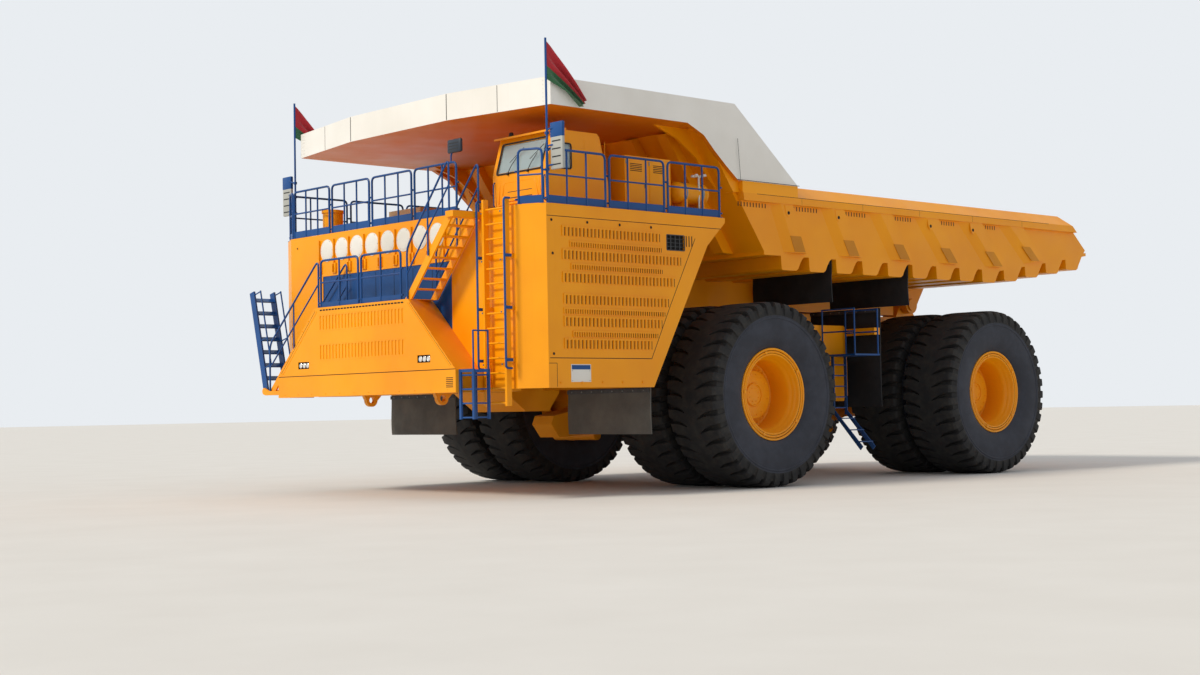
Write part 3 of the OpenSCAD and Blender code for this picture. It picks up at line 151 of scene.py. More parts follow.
world = bpy.data.worlds.new("sky")
scene.world = world
world.use_nodes = True
sky_tree = world.node_tree
sky_tree.nodes.clear()
rays = add_node(sky_tree, "ShaderNodeLightPath").outputs
sky_light = add_node(sky_tree, "ShaderNodeBackground", {"Color": srgb("#F4F7FB"), "Strength": SKY_LIGHT})
sky_seen = add_node(sky_tree, "ShaderNodeBackground", {"Color": srgb(SKY_SEEN), "Strength": 1.0})
is_seen = rays["Is Camera Ray"]
for ray in ("Is Glossy Ray", "Is Transmission Ray"):
    either = add_node(sky_tree, "ShaderNodeMath", {0: is_seen, 1: rays[ray]}, operation="MAXIMUM")
    is_seen = either.outputs[0]
sky = add_node(sky_tree, "ShaderNodeMixShader", {0: is_seen, 1: sky_light.outputs[0], 2: sky_seen.outputs[0]})
add_node(sky_tree, "ShaderNodeOutputWorld", {"Surface": sky.outputs[0]})

sun = bpy.data.objects.new("sun", bpy.data.lights.new("sun", "SUN"))
sun.data.energy = SUN_LIGHT
sun.data.angle = math.radians(12)
sun.data.color = srgb("#FFF6E6")[:3]
sun.rotation_euler = SUN_FROM.to_track_quat("Z", "Y").to_euler()
scene.collection.objects.link(sun)

scene.view_settings.view_transform = "Standard"

GROUND_HALF = 400
ground_form = bmesh.new()
bmesh.ops.create_grid(ground_form, x_segments=2, y_segments=2, size=GROUND_HALF)
ground_mesh = bpy.data.meshes.new("ground")
ground_form.to_mesh(ground_mesh)
ground = bpy.data.objects.new("ground", ground_mesh)
scene.collection.objects.link(ground)
stone, stone_tree, stone_shader = new_material("pale_stone_ground", Base_Color=srgb("#D9D6D1"), Roughness=0.9)
lay_over(stone_tree, stone_shader, wander(stone_tree, 0.6), "#E3E1DD")
ground_mesh.materials.append(stone)
print("a sun of", SUN_LIGHT, "over a ground", 2 * GROUND_HALF, "m wide")

# %% [markdown]
# ## Paint
# Every steel part is sprayed with semi-gloss enamel. Up close such paint isn't one even colour: it is
# a little thicker here and thinner there, rain draws faint vertical streaks down it, and dust settles
# low down. The three effects share one function, so that each colour of paint is one call. Their sizes
# are real ones: clouds of about two metres, streaks 60 mm wide, and an orange peel that is drawn at
# 25 mm, coarser than the real 3 mm, because the finer one would not show.

# %% Enamel paint
DUST_TOP, DUST_FULL = 2.6, 0.6
DUST_SHARE = 0.30
STREAK_SHARE = 0.35


def enamel(name, colour, deep, dust="#B08A55", roughness=0.4):
    material, tree, shader = new_material(name, Base_Color=srgb(colour), Roughness=roughness, IOR=1.5,
                                          Specular_IOR_Level=0.28, Coat_Weight=0.06, Coat_Roughness=0.12)
    lay_over(tree, shader, wander(tree, 0.5, (0.35, 0.68), detail=3), deep)
    rain = wander(tree, 1.0, (0.58, 0.8), (0, STREAK_SHARE), detail=3, stretch=(16, 16, 0.5))
    lay_over(tree, shader, rain, deep)
    place = add_node(tree, "ShaderNodeTexCoord").outputs["Object"]
    height = add_node(tree, "ShaderNodeSeparateXYZ", {0: place}).outputs["Z"]
    low = add_node(tree, "ShaderNodeMapRange", {"Value": height, "From Min": DUST_TOP, "From Max": DUST_FULL,
                                                "To Min": 0.0, "To Max": DUST_SHARE}).outputs[0]
    patchy = add_node(tree, "ShaderNodeMath", {0: low, 1: wander(tree, 2.2, detail=5)}, operation="MULTIPLY")
    lay_over(tree, shader, patchy.outputs[0], dust)
    sheen = wander(tree, 1.3, (0.3, 0.7), (roughness - 0.06, roughness + 0.08))
    tree.links.new(sheen, shader.inputs["Roughness"])
    add_grain(tree, shader, 40, 2, 0.4)
    return material


yellow = enamel("sprayed_yellow_enamel", "#F7A200", "#EC9400")
blue = enamel("sprayed_blue_enamel", "#124A8C", "#0E3F78", dust="#5E6C78")
white = enamel("sprayed_white_enamel", "#E6E4DE", "#D6D3CB", dust="#BDB3A2")
beige = enamel("sprayed_beige_enamel", "#D2BE97", "#C3AE86")
grey_steel = enamel("grey_primer_steel", "#8A8D90", "#7B7E81", roughness=0.5)
print("clouds, streaks, dust and grain:", len(yellow.node_tree.nodes), "nodes in each paint")

# %% [markdown]
# ## Rubber, steel, glass and plastic
# Tyre rubber is a black-brown compound where the road wears it, and a bluer, duller black on the
# side wall, where wax blooms out of it. The flaps are plain sheet rubber with chalky scuffs. Hoist
# rods are ground and chromed steel, so they shine like a mirror. Cast iron and seat cloth are as dull
# as rubber, so the same function makes them.

# %% Other finishes
def dull_finish(name, colour, dusty, per_metre=5.0, roughness=0.8):
    material, tree, shader = new_material(name, Base_Color=srgb(colour), Roughness=roughness, IOR=1.52,
                                          Specular_IOR_Level=0.35)
    lay_over(tree, shader, wander(tree, per_metre, (0.42, 0.72), detail=6, roughness=0.65), dusty)
    add_grain(tree, shader, 60, 4, 1.5)
    return material


tread_rubber = dull_finish("worn_tread_rubber", "#1F1F21", "#34322F")
wall_rubber = dull_finish("waxed_side_wall_rubber", "#282B35", "#353945", per_metre=2.0, roughness=0.68)
sheet_rubber = dull_finish("rubber_sheet", "#1C1D20", "#2E2F32", per_metre=1.4)
grey_rubber = dull_finish("dusty_rubber_sheet", "#55534F", "#6A665F", per_metre=1.2)
iron = dull_finish("painted_cast_iron", "#3A3C3F", "#4A4C50", per_metre=8, roughness=0.55)
seat_cloth = dull_finish("grey_seat_fabric", "#3B3D42", "#4A4D53", per_metre=14, roughness=0.9)


def ground_steel(name, colour, roughness):
    material, tree, shader = new_material(name, Base_Color=srgb(colour), Metallic=1.0)
    sheen = (roughness - 0.05, roughness + 0.1)
    lathe_marks = wander(tree, 3, (0.3, 0.7), sheen, detail=5, stretch=(8, 8, 1))
    tree.links.new(lathe_marks, shader.inputs["Roughness"])
    return material


chrome = ground_steel("chromed_rod_steel", "#C9CCCF", 0.15)
bolt_steel = ground_steel("zinc_plated_bolt_steel", "#8C8F92", 0.42)
silvered_glass = ground_steel("silvered_mirror_glass", "#D5DADD", 0.08)


def moulded_plastic(name, colour, roughness):
    material, tree, shader = new_material(name, Base_Color=srgb(colour), IOR=1.49)
    sheen = wander(tree, 30, (0.3, 0.7), (roughness - 0.05, roughness + 0.05), detail=2)
    tree.links.new(sheen, shader.inputs["Roughness"])
    add_grain(tree, shader, 150, 2, 0.3)
    return material


black_plastic = moulded_plastic("moulded_black_plastic", "#17181A", 0.5)
# Near-black: the colour of dark seams, and painted shade where it stands for the shade inside holes, slits,
# grooves, gaps and recesses.
seam_dark_and_painted_shade = moulded_plastic("dark_seams_and_painted_shade", "#0B0B0C", 0.9)
shell_grey = moulded_plastic("moulded_grey_plastic", "#A9ABA6", 0.45)
shell_dark = moulded_plastic("moulded_navy_plastic", "#1E2836", 0.4)


def float_glass(name, tint, clear, roughness=0.04):
    material, tree, shader = new_material(name, Base_Color=srgb(tint), IOR=1.5, Transmission_Weight=clear)
    film = wander(tree, 3, (0.35, 0.75), (roughness, roughness + 0.05))
    tree.links.new(film, shader.inputs["Roughness"])
    return material


# The window glass lets only part of the light through; the rest shows its pale blue-white colour, a painted
# reflection of the sky.
window_glass_with_painted_reflection = float_glass("laminated_window_glass_with_painted_reflection", "#C9DEE4", 0.55)
lens_glass = float_glass("clear_lamp_lens", "#F2F2F0", 0.3, 0.12)
print(len(bpy.data.materials), "materials so far")

# %% [markdown]
# The model's own parts get their finishes by name. A part that a better piece replaces later is in the
# list too, so that no part is ever bare.

# %% Finishes of the model's own parts
FINISH_OF_NODE = {
    yellow: ["frame_rails", "front_beam", "grille_housing", "front_wall", "housing_left", "housing_right",
             "deck_plate", "front_stairs", "tall_ladder", "cab_shell", "cab_door", "deck_cabinet", "air_tank",
             "filter_drum", "fuel_tanks", "front_axle", "rear_axle", "bed_floor", "bed_sides", "bed_front",
             "rims_front_left", "rims_front_right", "rims_rear_left", "rims_rear_right"],
    blue: ["radiator_panel", "deck_guards", "walkway_guards", "side_ladder", "boarding_stair",
           "middle_ladder", "flagpoles"],
    white: ["intake_covers", "canopy"],
    beige: ["resistor_cabinet"],
    iron: ["engine_block"],
    window_glass_with_painted_reflection: ["cab_glass"],
    black_plastic: ["cab_interior", "mirrors"],
    grey_steel: ["hoist_barrel_left", "hoist_barrel_right"],
    chrome: ["hoist_stage_left", "hoist_stage_right", "hoist_rod_left", "hoist_rod_right"],
    sheet_rubber: ["mud_flaps", "bed_flaps", "flags"],
    lens_glass: ["headlamps"],
    wall_rubber: ["tyres_front_left", "tyres_front_right", "tyres_rear_left", "tyres_rear_right"],
}
for finish, names in FINISH_OF_NODE.items():
    for name in names:
        mesh = nodes[name].data
        mesh.materials.clear()
        mesh.materials.append(finish)
print(sum(len(names) for names in FINISH_OF_NODE.values()), "parts have their finish")

# %% [markdown]
# ## Turning a shape into a piece
# Every new piece ends the same way: spun shapes are welded at their seam, faces are turned outwards,
# the piece is smoothed up to its sharp edges, and it is fastened to the body that carries it. The
# function takes the piece's finishes, the body, and the model's parts that the piece replaces.

# %% Finish a piece
SHARP_DEG = 32
WELD_WITHIN = 1e-5


def finish_piece(name, form, materials, body="truck", replaced=(), weld=False, recalc=True):
    if weld:
        bmesh.ops.remove_doubles(form, verts=form.verts, dist=WELD_WITHIN)
    if recalc:
        bmesh.ops.recalc_face_normals(form, faces=form.faces)
    mesh = bpy.data.meshes.new(name)
    form.to_mesh(mesh)
    form.free()
    mesh.shade_smooth()
    mesh.set_sharp_from_angle(angle=math.radians(SHARP_DEG))
    for material in materials:
        mesh.materials.append(material)
    piece = bpy.data.objects.new(name, mesh)
    scene.collection.objects.link(piece)
    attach(piece, body)
    if replaced:
        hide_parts(*replaced)
    print(name, len(mesh.polygons), "faces")
    return piece


# %% [markdown]
# ## Shapes that many pieces share
# Most of the truck's fittings are blocks, plates cut from sheet, bolts and bent tube. Each helper adds
# one such shape to a piece that is being built, so that a fitting is described in the words of the
# workshop: a plate is an outline pushed to its thickness, and a handrail is a ring of points that
# is extruded from bend to bend along its path.

# %% Blocks, plates, rounds and bolts
AHEAD, UPWARDS = (1, 0, 0), (0, 0, 1)


def paint_faces(verts, material):
    for face in {face for vert in verts for face in vert.link_faces}:
        face.material_index = material


def add_block(form, corner, opposite, material=0, soften=0.0):
    """A block between two opposite corners; soften is the size of its bevel."""
    low, high = (Vector([pick(pair) for pair in zip(corner, opposite)]) for pick in (min, max))
    made = bmesh.ops.create_cube(form, size=1.0)["verts"]
    bmesh.ops.scale(form, vec=high - low, verts=made)
    bmesh.ops.translate(form, vec=(low + high) / 2, verts=made)
    paint_faces(made, material)
    if soften:
        edges = list({edge for vert in made for edge in vert.link_edges})
        bmesh.ops.bevel(form, geom=edges, offset=soften, affect="EDGES", segments=2, profile=0.5, material=-1)


def add_plate(form, corners, push, material=0):
    """A flat outline that is pushed to its thickness."""
    face = form.faces.new([form.verts.new(corner) for corner in corners])
    base = list(face.verts)
    grown = bmesh.ops.extrude_face_region(form, geom=[face])["geom"]
    moved = [part for part in grown if isinstance(part, bmesh.types.BMVert)]
    bmesh.ops.translate(form, vec=Vector(push), verts=moved)
    paint_faces(base + moved, material)


def add_round(form, start, end, radius, material=0, sides=24):
    start, end = Vector(start), Vector(end)
    along = end - start
    place = Matrix.Translation((start + end) / 2) @ along.to_track_quat("Z", "Y").to_matrix().to_4x4()
    made = bmesh.ops.create_cone(form, cap_ends=True, segments=sides, radius1=radius, radius2=radius,
                                 depth=along.length, matrix=place)["verts"]
    paint_faces(made, material)


def add_bolt(form, seat, out, size, material=0):
    """A hexagonal head on a round washer."""
    seat, out = Vector(seat), Vector(out).normalized()
    add_round(form, seat - out * 0.004, seat + out * size * 0.12, size * 1.05, material, sides=12)
    add_round(form, seat, seat + out * size * 0.7, size * 0.62, material, sides=6)


def add_bolt_row(form, first, last, count, out, size, material=0):
    first, last = Vector(first), Vector(last)
    for i in range(count):
        add_bolt(form, first.lerp(last, i / (count - 1)), out, size, material)


def add_strip(form, start, end, width, out, proud, material=0):
    """A flat bar laid on a surface from start to end; out is the surface's direction."""
    start, end, out = Vector(start), Vector(end), Vector(out)
    side = (end - start).cross(out).normalized() * width / 2
    add_plate(form, [start - side, end - side, end + side, start + side], out * proud, material)


# %% Bent tube
def round_bends(points, radius=0.11, steps=4):
    """The path with every inner corner rounded off by a short curve."""
    points = [Vector(point) for point in points]
    path = [points[0]]
    for before, corner, after in zip(points, points[1:], points[2:]):
        back, ahead = before - corner, after - corner
        reach = min(radius, back.length * 0.45, ahead.length * 0.45)
        start, end = corner + back.normalized() * reach, corner + ahead.normalized() * reach
        for i in range(steps + 1):
            t = i / steps
            path.append(start * (1 - t) ** 2 + corner * 2 * t * (1 - t) + end * t ** 2)
    return path + [points[-1]]


def lay_tube(form, path, radius, material=0, sides=10):
    """A tube along the path, closed at both ends, each ring of vertices grown from the one before."""
    path = [Vector(point) for point in path]
    legs = [(b - a).normalized() for a, b in zip(path, path[1:])]
    headings = [legs[0]] + [(a + b).normalized() for a, b in zip(legs, legs[1:])] + [legs[-1]]
    turn = legs[0].to_track_quat("Z", "Y")
    places = []
    for i, (point, heading) in enumerate(zip(path, headings)):
        if i:
            turn = headings[i - 1].rotation_difference(heading) @ turn
        places.append(Matrix.Translation(point) @ turn.to_matrix().to_4x4())
    ring = bmesh.ops.create_circle(form, cap_ends=True, radius=radius, segments=sides,
                                   matrix=places[0])["verts"]
    every = list(ring)
    edges = list({edge for vert in ring for edge in vert.link_edges})
    for before, after in zip(places, places[1:]):
        grown = bmesh.ops.extrude_edge_only(form, edges=edges)["geom"]
        ring = [part for part in grown if isinstance(part, bmesh.types.BMVert)]
        edges = [part for part in grown if isinstance(part, bmesh.types.BMEdge)]
        bmesh.ops.transform(form, matrix=after @ before.inverted(), verts=ring)
        every += ring
    bmesh.ops.holes_fill(form, edges=edges, sides=sides)
    paint_faces(every, material)


def lay_ring(form, corners, bend, steps, radius, material, sides):
    """A closed ring of tube through the corners, such as a window's seal."""
    lay_tube(form, round_bends(corners + corners[:2], bend, steps)[1:], radius, material, sides)


# %% Turned shapes
def turn_shape(form, profile, centre, axis, steps=48, material=0):
    """Spins a profile of (radius, distance along the axis) points once round the axis."""
    centre, axis = Vector(centre), Vector(axis)
    out = Vector(AHEAD if axis.z else UPWARDS)
    corners = [form.verts.new(centre + out * radius + axis * along) for radius, along in profile]
    edges = [form.edges.new(pair) for pair in zip(corners, corners[1:])]
    before = set(form.faces)
    bmesh.ops.spin(form, geom=corners + edges, cent=centre, axis=axis, angle=math.tau, steps=steps,
                   use_merge=True, use_duplicate=False)
    for face in set(form.faces) - before:
        face.material_index = material


# %% [markdown]
# ## Tyres
# Each tyre is 3.96 m tall. Its tread has 40 deep grooves on each shoulder, which start near the middle
# of the tread, swing backwards and open wide at the shoulder, so that solid lugs stand between them.
# The section, which is mirrored from its half, is spun round the axle in 240 steps, six for each lug.
# Then the vertices between two lugs sink to the bottom of the groove. Six steps a lug are enough when
# each ring of vertices is turned a little, so that two of them stand close together at each groove wall.

# %% Tyre measures
LUGS = 40
STEPS_PER_LUG = 6
TYRE_RADIUS = (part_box("tyres_front_left")[1].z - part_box("tyres_front_left")[0].z) / 2
TYRE_HALF_WIDTH = 0.725
GROOVE_DEPTH = 0.095
GROOVE_SWEEP = math.radians(9)
LUG_REACH = 0.31
# Where the groove turns from the tread on to the side, below the tread, and how deep it is there
SHOULDER_FROM, SHOULDER_OVER, SIDE_SHARE = 0.03, 0.14, 0.75

# Half the section, from the middle of the tread to the bead: radius, distance from the tyre's middle
# plane, share of the groove's depth there, and the groove's width as a share of a lug's pitch
TREAD_SECTION = [
    (0.000, 0.000, 0.0, 0.10), (0.000, 0.012, 0.0, 0.10), (0.000, 0.170, 0.0, 0.10),
    (0.000, 0.215, 0.85, 0.14), (0.000, 0.330, 1.0, 0.22), (-0.002, 0.450, 1.0, 0.30),
    (-0.008, 0.560, 1.0, 0.38), (-0.025, 0.655, 1.0, 0.44), (-0.070, 0.700, 0.9, 0.46),
    (-0.170, 0.722, 0.55, 0.46), (-0.265, 0.725, 0.3, 0.44), (-0.300, 0.716, 0.0, 0.40),
]
SIDE_SECTION = [
    (-0.330, 0.712), (-0.345, 0.722), (-0.365, 0.722), (-0.380, 0.710), (-0.480, 0.716), (-0.620, 0.712),
    (-0.760, 0.690), (-0.860, 0.660), (-0.930, 0.620), (-0.975, 0.585), (-1.000, 0.560), (-1.045, 0.559),
]
print("a tyre has", 2 * LUGS, "lugs on a radius of", round(TYRE_RADIUS, 3), "m")


# %% Make the eight tyres
def groove_shape(step, width):
    """Where in the pitch a step stands, and how deep it is: the groove lies in the pitch's first part."""
    wall = min(0.045, width * 0.3)
    stands_at = [0.0, wall, width - wall, width, width + (1 - width) * 0.33, width + (1 - width) * 0.67]
    return stands_at[step], (0.0, 1.0, 1.0, 0.0, 0.0, 0.0)[step]


def make_tyre(name, centre, body, stood_for):
    form = bmesh.new()
    half = [(TYRE_RADIUS + r, y) for r, y, depth, width in TREAD_SECTION]
    half += [(TYRE_RADIUS + r, y) for r, y in SIDE_SECTION]
    section = [(r, -y) for r, y in reversed(half[1:])] + half
    turn_shape(form, section, centre, (0, 1, 0), LUGS * STEPS_PER_LUG)
    rings = {round(y, 4): (depth, width) for r, y, depth, width in TREAD_SECTION}
    pitch = math.tau / LUGS
    for vert in form.verts:
        offset = vert.co - centre
        side = math.copysign(1, offset.y)
        found = rings.get(round(abs(offset.y), 4))
        radius = math.hypot(offset.x, offset.z)
        if found is None or radius < TYRE_RADIUS - LUG_REACH:
            continue
        depth, width = found
        number = round(math.atan2(offset.x, offset.z) / (pitch / STEPS_PER_LUG)) % (LUGS * STEPS_PER_LUG)
        share, sunk = groove_shape(number % STEPS_PER_LUG, width)
        swing = GROOVE_SWEEP * (1 - (abs(offset.y) / TYRE_HALF_WIDTH - 1) ** 2)
        if side < 0:
            swing += pitch / 2
        angle = (number // STEPS_PER_LUG + share) * pitch - swing
        drop = GROOVE_DEPTH * depth * sunk
        on_side = max(0.0, min(1.0, (TYRE_RADIUS - radius - SHOULDER_FROM) / SHOULDER_OVER))
        radius -= drop * (1 - on_side)
        across = offset.y - side * drop * on_side * SIDE_SHARE
        vert.co = centre + Vector((radius * math.sin(angle), across, radius * math.cos(angle)))
    for face in form.faces:
        middle = face.calc_center_median() - centre
        face.material_index = 0 if math.hypot(middle.x, middle.z) > TYRE_RADIUS - LUG_REACH else 1
    finish_piece(name, form, [tread_rubber, wall_rubber], body, [stood_for], weld=True)


TYRE_Y = {"inner": 2.435, "outer": 4.075}
WHEELS = [(end, side, sign) for end in ("front", "rear") for side, sign in (("left", 1), ("right", -1))]


def axle_middle(end, side):
    low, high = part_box(f"tyres_{end}_{side}")
    return Vector(((low.x + high.x) / 2, 0, (low.z + high.z) / 2))


for end, side, sign in WHEELS:
    for place, y in TYRE_Y.items():
        hub = axle_middle(end, side) + Vector((0, sign * y, 0))
        make_tyre(f"tyre_{end}_{side}_{place}", hub, f"wheels_{end}_{side}", f"tyres_{end}_{side}")

# %% [markdown]
# ## Rims
# Each wheel carries two rims behind one another. What shows is the outer one: a rounded flange that
# holds the bead, the lock ring and the gutter beside it, and then a deep barrel down to the hub plate
# with its domed cover. The whole section of steel is spun once; the bolts are placed round it. Thin dark
# rings of painted shade lie in the two grooves and at the foot of the barrel.

# %% Rim section and bolts
RIM_HALF = 0.60
RIM_FACE = [
    (0.940, -0.060), (0.965, -0.052), (0.988, -0.036), (0.990, -0.018), (0.982, -0.004), (0.968, 0.000),
    (0.952, -0.003), (0.944, -0.012), (0.938, -0.028), (0.930, -0.030), (0.922, -0.022), (0.914, -0.006),
    (0.900, -0.002), (0.888, -0.008), (0.882, -0.024), (0.874, -0.028), (0.866, -0.022), (0.856, -0.014),
    (0.838, -0.016), (0.828, -0.030), (0.820, -0.060), (0.806, -0.110), (0.792, -0.128), (0.786, -0.160),
    (0.770, -0.200), (0.748, -0.235), (0.735, -0.290), (0.724, -0.420), (0.720, -0.700), (0.716, -0.742),
    (0.690, -0.756), (0.640, -0.760), (0.540, -0.760), (0.532, -0.752), (0.528, -0.700), (0.524, -0.610),
    (0.516, -0.598), (0.500, -0.594), (0.262, -0.590), (0.254, -0.582), (0.250, -0.560), (0.240, -0.552),
    (0.222, -0.550), (0.214, -0.558), (0.210, -0.574), (0.120, -0.570), (0.0, -0.570),
]
# Thin dark rings of painted shade in the grooves and at the foot of the barrel: radius, distance from the
# rim's edge
GROOVE_SHADE_RINGS = [(0.9335, -0.0285), (0.8765, -0.0265), (0.534, -0.757)]
# Rings of bolts: how many, their radius, how far they sit from the rim's edge, and a bolt's size
BOLT_RINGS = [(36, 0.655, -0.760, 0.026), (16, 0.44, -0.594, 0.022), (8, 0.15, -0.571, 0.018)]
CLEATS = 5
# The valve's pipe: forwards of the hub, depth behind the rim's edge, and height over the hub
VALVE = [(0.60, 0.74, 0.25), (0.62, 0.55, 0.26), (0.755, 0.20, 0.31), (0.80, 0.06, 0.33)]


def make_rim(end, side, sign):
    centre = axle_middle(end, side)
    edge = TYRE_Y["outer"] + RIM_HALF
    outer_back = TYRE_Y["outer"] - RIM_HALF
    inner_front, inner_back = TYRE_Y["inner"] + RIM_HALF, TYRE_Y["inner"] - RIM_HALF
    section = [
        (0.0, edge - 0.82), (0.35, edge - 0.82), (0.35, edge - 0.92), (0.715, edge - 0.92),
        (0.720, inner_back), (0.988, inner_back), (0.988, inner_back + 0.04), (0.932, inner_back + 0.05),
        (0.932, inner_front - 0.05), (0.988, inner_front - 0.04), (0.988, inner_front), (0.80, inner_front),
        (0.80, outer_back), (0.988, outer_back), (0.988, outer_back + 0.04), (0.932, outer_back + 0.05),
    ]
    section += [(radius, edge + along) for radius, along in RIM_FACE]
    form = bmesh.new()
    turn_shape(form, section, centre, (0, sign, 0), 96)
    # Painted shade: a thin dark ring in each groove and at the barrel's foot
    for radius, along in GROOVE_SHADE_RINGS:
        foot = edge + along
        seam = [(radius + 0.004, foot), (radius, foot + 0.003), (radius - 0.004, foot)]
        turn_shape(form, seam, centre, (0, sign, 0), 96, 2)
    for number, radius, along, size in BOLT_RINGS:
        for i in range(number):
            angle = math.tau * (i + 0.5) / number
            seat = Vector((radius * math.sin(angle), sign * (edge + along), radius * math.cos(angle)))
            add_bolt(form, centre + seat, (0, sign, 0), size)
    for i in range(CLEATS):
        angle = math.tau * (i + 0.2) / CLEATS
        out = Vector((math.sin(angle), 0, math.cos(angle)))
        seat = centre + out * 0.906 + Vector((0, sign * edge, 0))
        add_block(form, seat - Vector((0.03, 0.008, 0.03)), seat + Vector((0.03, 0.010, 0.03)), soften=0.004)
    valve = [centre + Vector((x, sign * (edge - depth), z)) for x, depth, z in VALVE]
    lay_tube(form, round_bends(valve, 0.06), 0.012, material=1, sides=8)
    finish_piece(f"rim_{end}_{side}", form, [yellow, bolt_steel, seam_dark_and_painted_shade],
                 f"wheels_{end}_{side}", [f"rims_{end}_{side}"], weld=True)


for wheel in WHEELS:
    make_rim(*wheel)

# %% [markdown]
# ## Side walls of the housing
# The walls over the front wheels are cooling-air screens: ten bands of pressed louvres, wide and
# narrow in turn, on a flat sheet with a folded border. The model has the pressed slats; what it lacks
# is the slit beside each slat, through which the air goes, and each slit is drawn as a thin dark plate of
# painted shade. Bolts, lifting holes whose insides are dark discs of painted shade, and a small window
# with bars in front of a dark plate of painted shade complete the wall, and the left wall carries a
# blank white plate.

# %% Painted slit shade and seams of the side walls
WALL_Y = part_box("deck_plate")[1].y
# Each band's low and high edge, its front and rear end, and the pitch of its louvres
LOUVRE_ROWS = [
    (5.07, 5.27, 8.76, 6.03, 0.098), (4.865, 4.985, 8.56, 6.03, 0.062), (4.62, 4.82, 8.76, 5.44, 0.098),
    (4.43, 4.55, 8.54, 6.05, 0.062), (4.18, 4.38, 8.76, 5.66, 0.098), (3.76, 3.96, 8.74, 5.88, 0.098),
    (3.57, 3.69, 8.74, 5.98, 0.062), (3.33, 3.53, 8.74, 6.08, 0.098), (3.13, 3.26, 8.52, 6.18, 0.062),
    (2.90, 3.10, 8.74, 6.30, 0.098),
]
# Each slit is a thin dark plate of painted shade beside its slat: its front, width, foot and head
SLIT_SHADES = [(front - (i + 0.58) * pitch, 0.26 * pitch, low + 0.004, high - 0.034)
         for low, high, front, rear, pitch in LOUVRE_ROWS for i in range(int((front - rear) / pitch + 1e-6))]
SLIT_SHADES += [(5.39 - i * 0.08, 0.026, 5.02, 5.24) for i in range(3)]
# Seams between two sheets: the line's width, and its corners as (x, z)
WALL_SEAMS = [
    (0.012, [(9.13, 5.44), (4.35, 5.44)]), (0.010, [(9.13, 2.62), (8.93, 2.62), (8.93, 2.17)]),
    (0.014, [(9.10, 2.72), (6.42, 2.72), (5.88, 3.78), (5.12, 5.20)]),
]


def add_slit_shades_and_seams(form, y, sign):
    for front, wide, low, high in SLIT_SHADES:
        # Painted shade: a thin dark plate for each slit
        rear = front - wide
        add_plate(form, [(front, y, low), (rear, y, low), (rear, y, high), (front, y, high)],
                  (0, sign * 0.0015, 0), 1)
    for width, line in WALL_SEAMS:
        for (x0, z0), (x1, z1) in zip(line, line[1:]):
            add_strip(form, (x0, y, z0), (x1, y, z1), width, (0, sign, 0), 0.001, 1)


print(len(SLIT_SHADES), "slits in each wall")

# %% Holes, bolts and the barred window
HOLES = [(9.02, 5.36), (9.00, 4.72), (9.01, 2.80), (8.10, 5.36), (7.24, 5.36), (6.38, 5.36)]
WINDOW_X, WINDOW_Z = (5.43, 5.94), (4.93, 5.24)


def add_holes_and_bolts(form, y, sign):
    for x, z in HOLES:
        add_round(form, (x, y - sign * 0.01, z), (x, y + sign * 0.006, z), 0.042, 0)
        # A dark disc of painted shade inside each hole's ring
        add_round(form, (x, y, z), (x, y + sign * 0.0075, z), 0.028, 1)
    add_bolt_row(form, (8.84, y, 2.25), (6.68, y, 2.25), 5, (0, sign, 0), 0.032)
    add_bolt_row(form, (7.94, y, 5.40), (5.64, y, 5.40), 6, (0, sign, 0), 0.014)


def add_window(form, y, sign):
    """Three upright and three level bars in front of a dark plate of painted shade, framed by a ring of tube.
    """
    (x0, x1), (z0, z1) = WINDOW_X, WINDOW_Z
    # A dark plate of painted shade behind the bars
    add_block(form, (x0 - 0.02, y - sign * 0.05, z0 - 0.02), (x1 + 0.02, y - sign * 0.045, z1 + 0.02), 1)
    for i in range(1, 4):
        x, z = x0 + i * 0.1275, z0 + i * 0.0775
        add_block(form, (x - 0.009, y - sign * 0.030, z0), (x + 0.009, y - sign * 0.010, z1), 2)
        add_block(form, (x0, y - sign * 0.026, z - 0.006), (x1, y - sign * 0.014, z + 0.006), 2)
    lay_ring(form, [(x0, y, z0), (x1, y, z0), (x1, y, z1), (x0, y, z1)], 0.02, 2, 0.011, 2, 6)


for side, sign in (("left", 1), ("right", -1)):
    form = bmesh.new()
    for add_details in (add_slit_shades_and_seams, add_holes_and_bolts, add_window):
        add_details(form, sign * WALL_Y, sign)
    finish_piece(f"wall_trim_{side}", form, [yellow, seam_dark_and_painted_shade, iron])

# %% The blank plate on the left wall
form = bmesh.new()
add_block(form, (8.07, WALL_Y, 2.26), (8.58, WALL_Y + 0.006, 2.60), 0, soften=0.002)
add_block(form, (8.085, WALL_Y + 0.004, 2.50), (8.565, WALL_Y + 0.0075, 2.585), 1)
for x in (8.10, 8.55):
    for z in (2.285, 2.475):
        add_bolt(form, (x, WALL_Y + 0.006, z), (0, 1, 0), 0.009, 2)
finish_piece("wall_plate", form, [white, blue, bolt_steel], weld=True)

# %% [markdown]
# ## Two-tone canopy with painted shade underneath
# The canopy over the cab is white outside, and yellow where its wings run down to the bed; underneath
# it is painted orange as shade. One paint can't do that, but one material can: it asks for each point's
# own normal and height. Where the surface looks down, or a wing looks inwards, it gets the orange painted
# shade; low on a wing it is yellow.

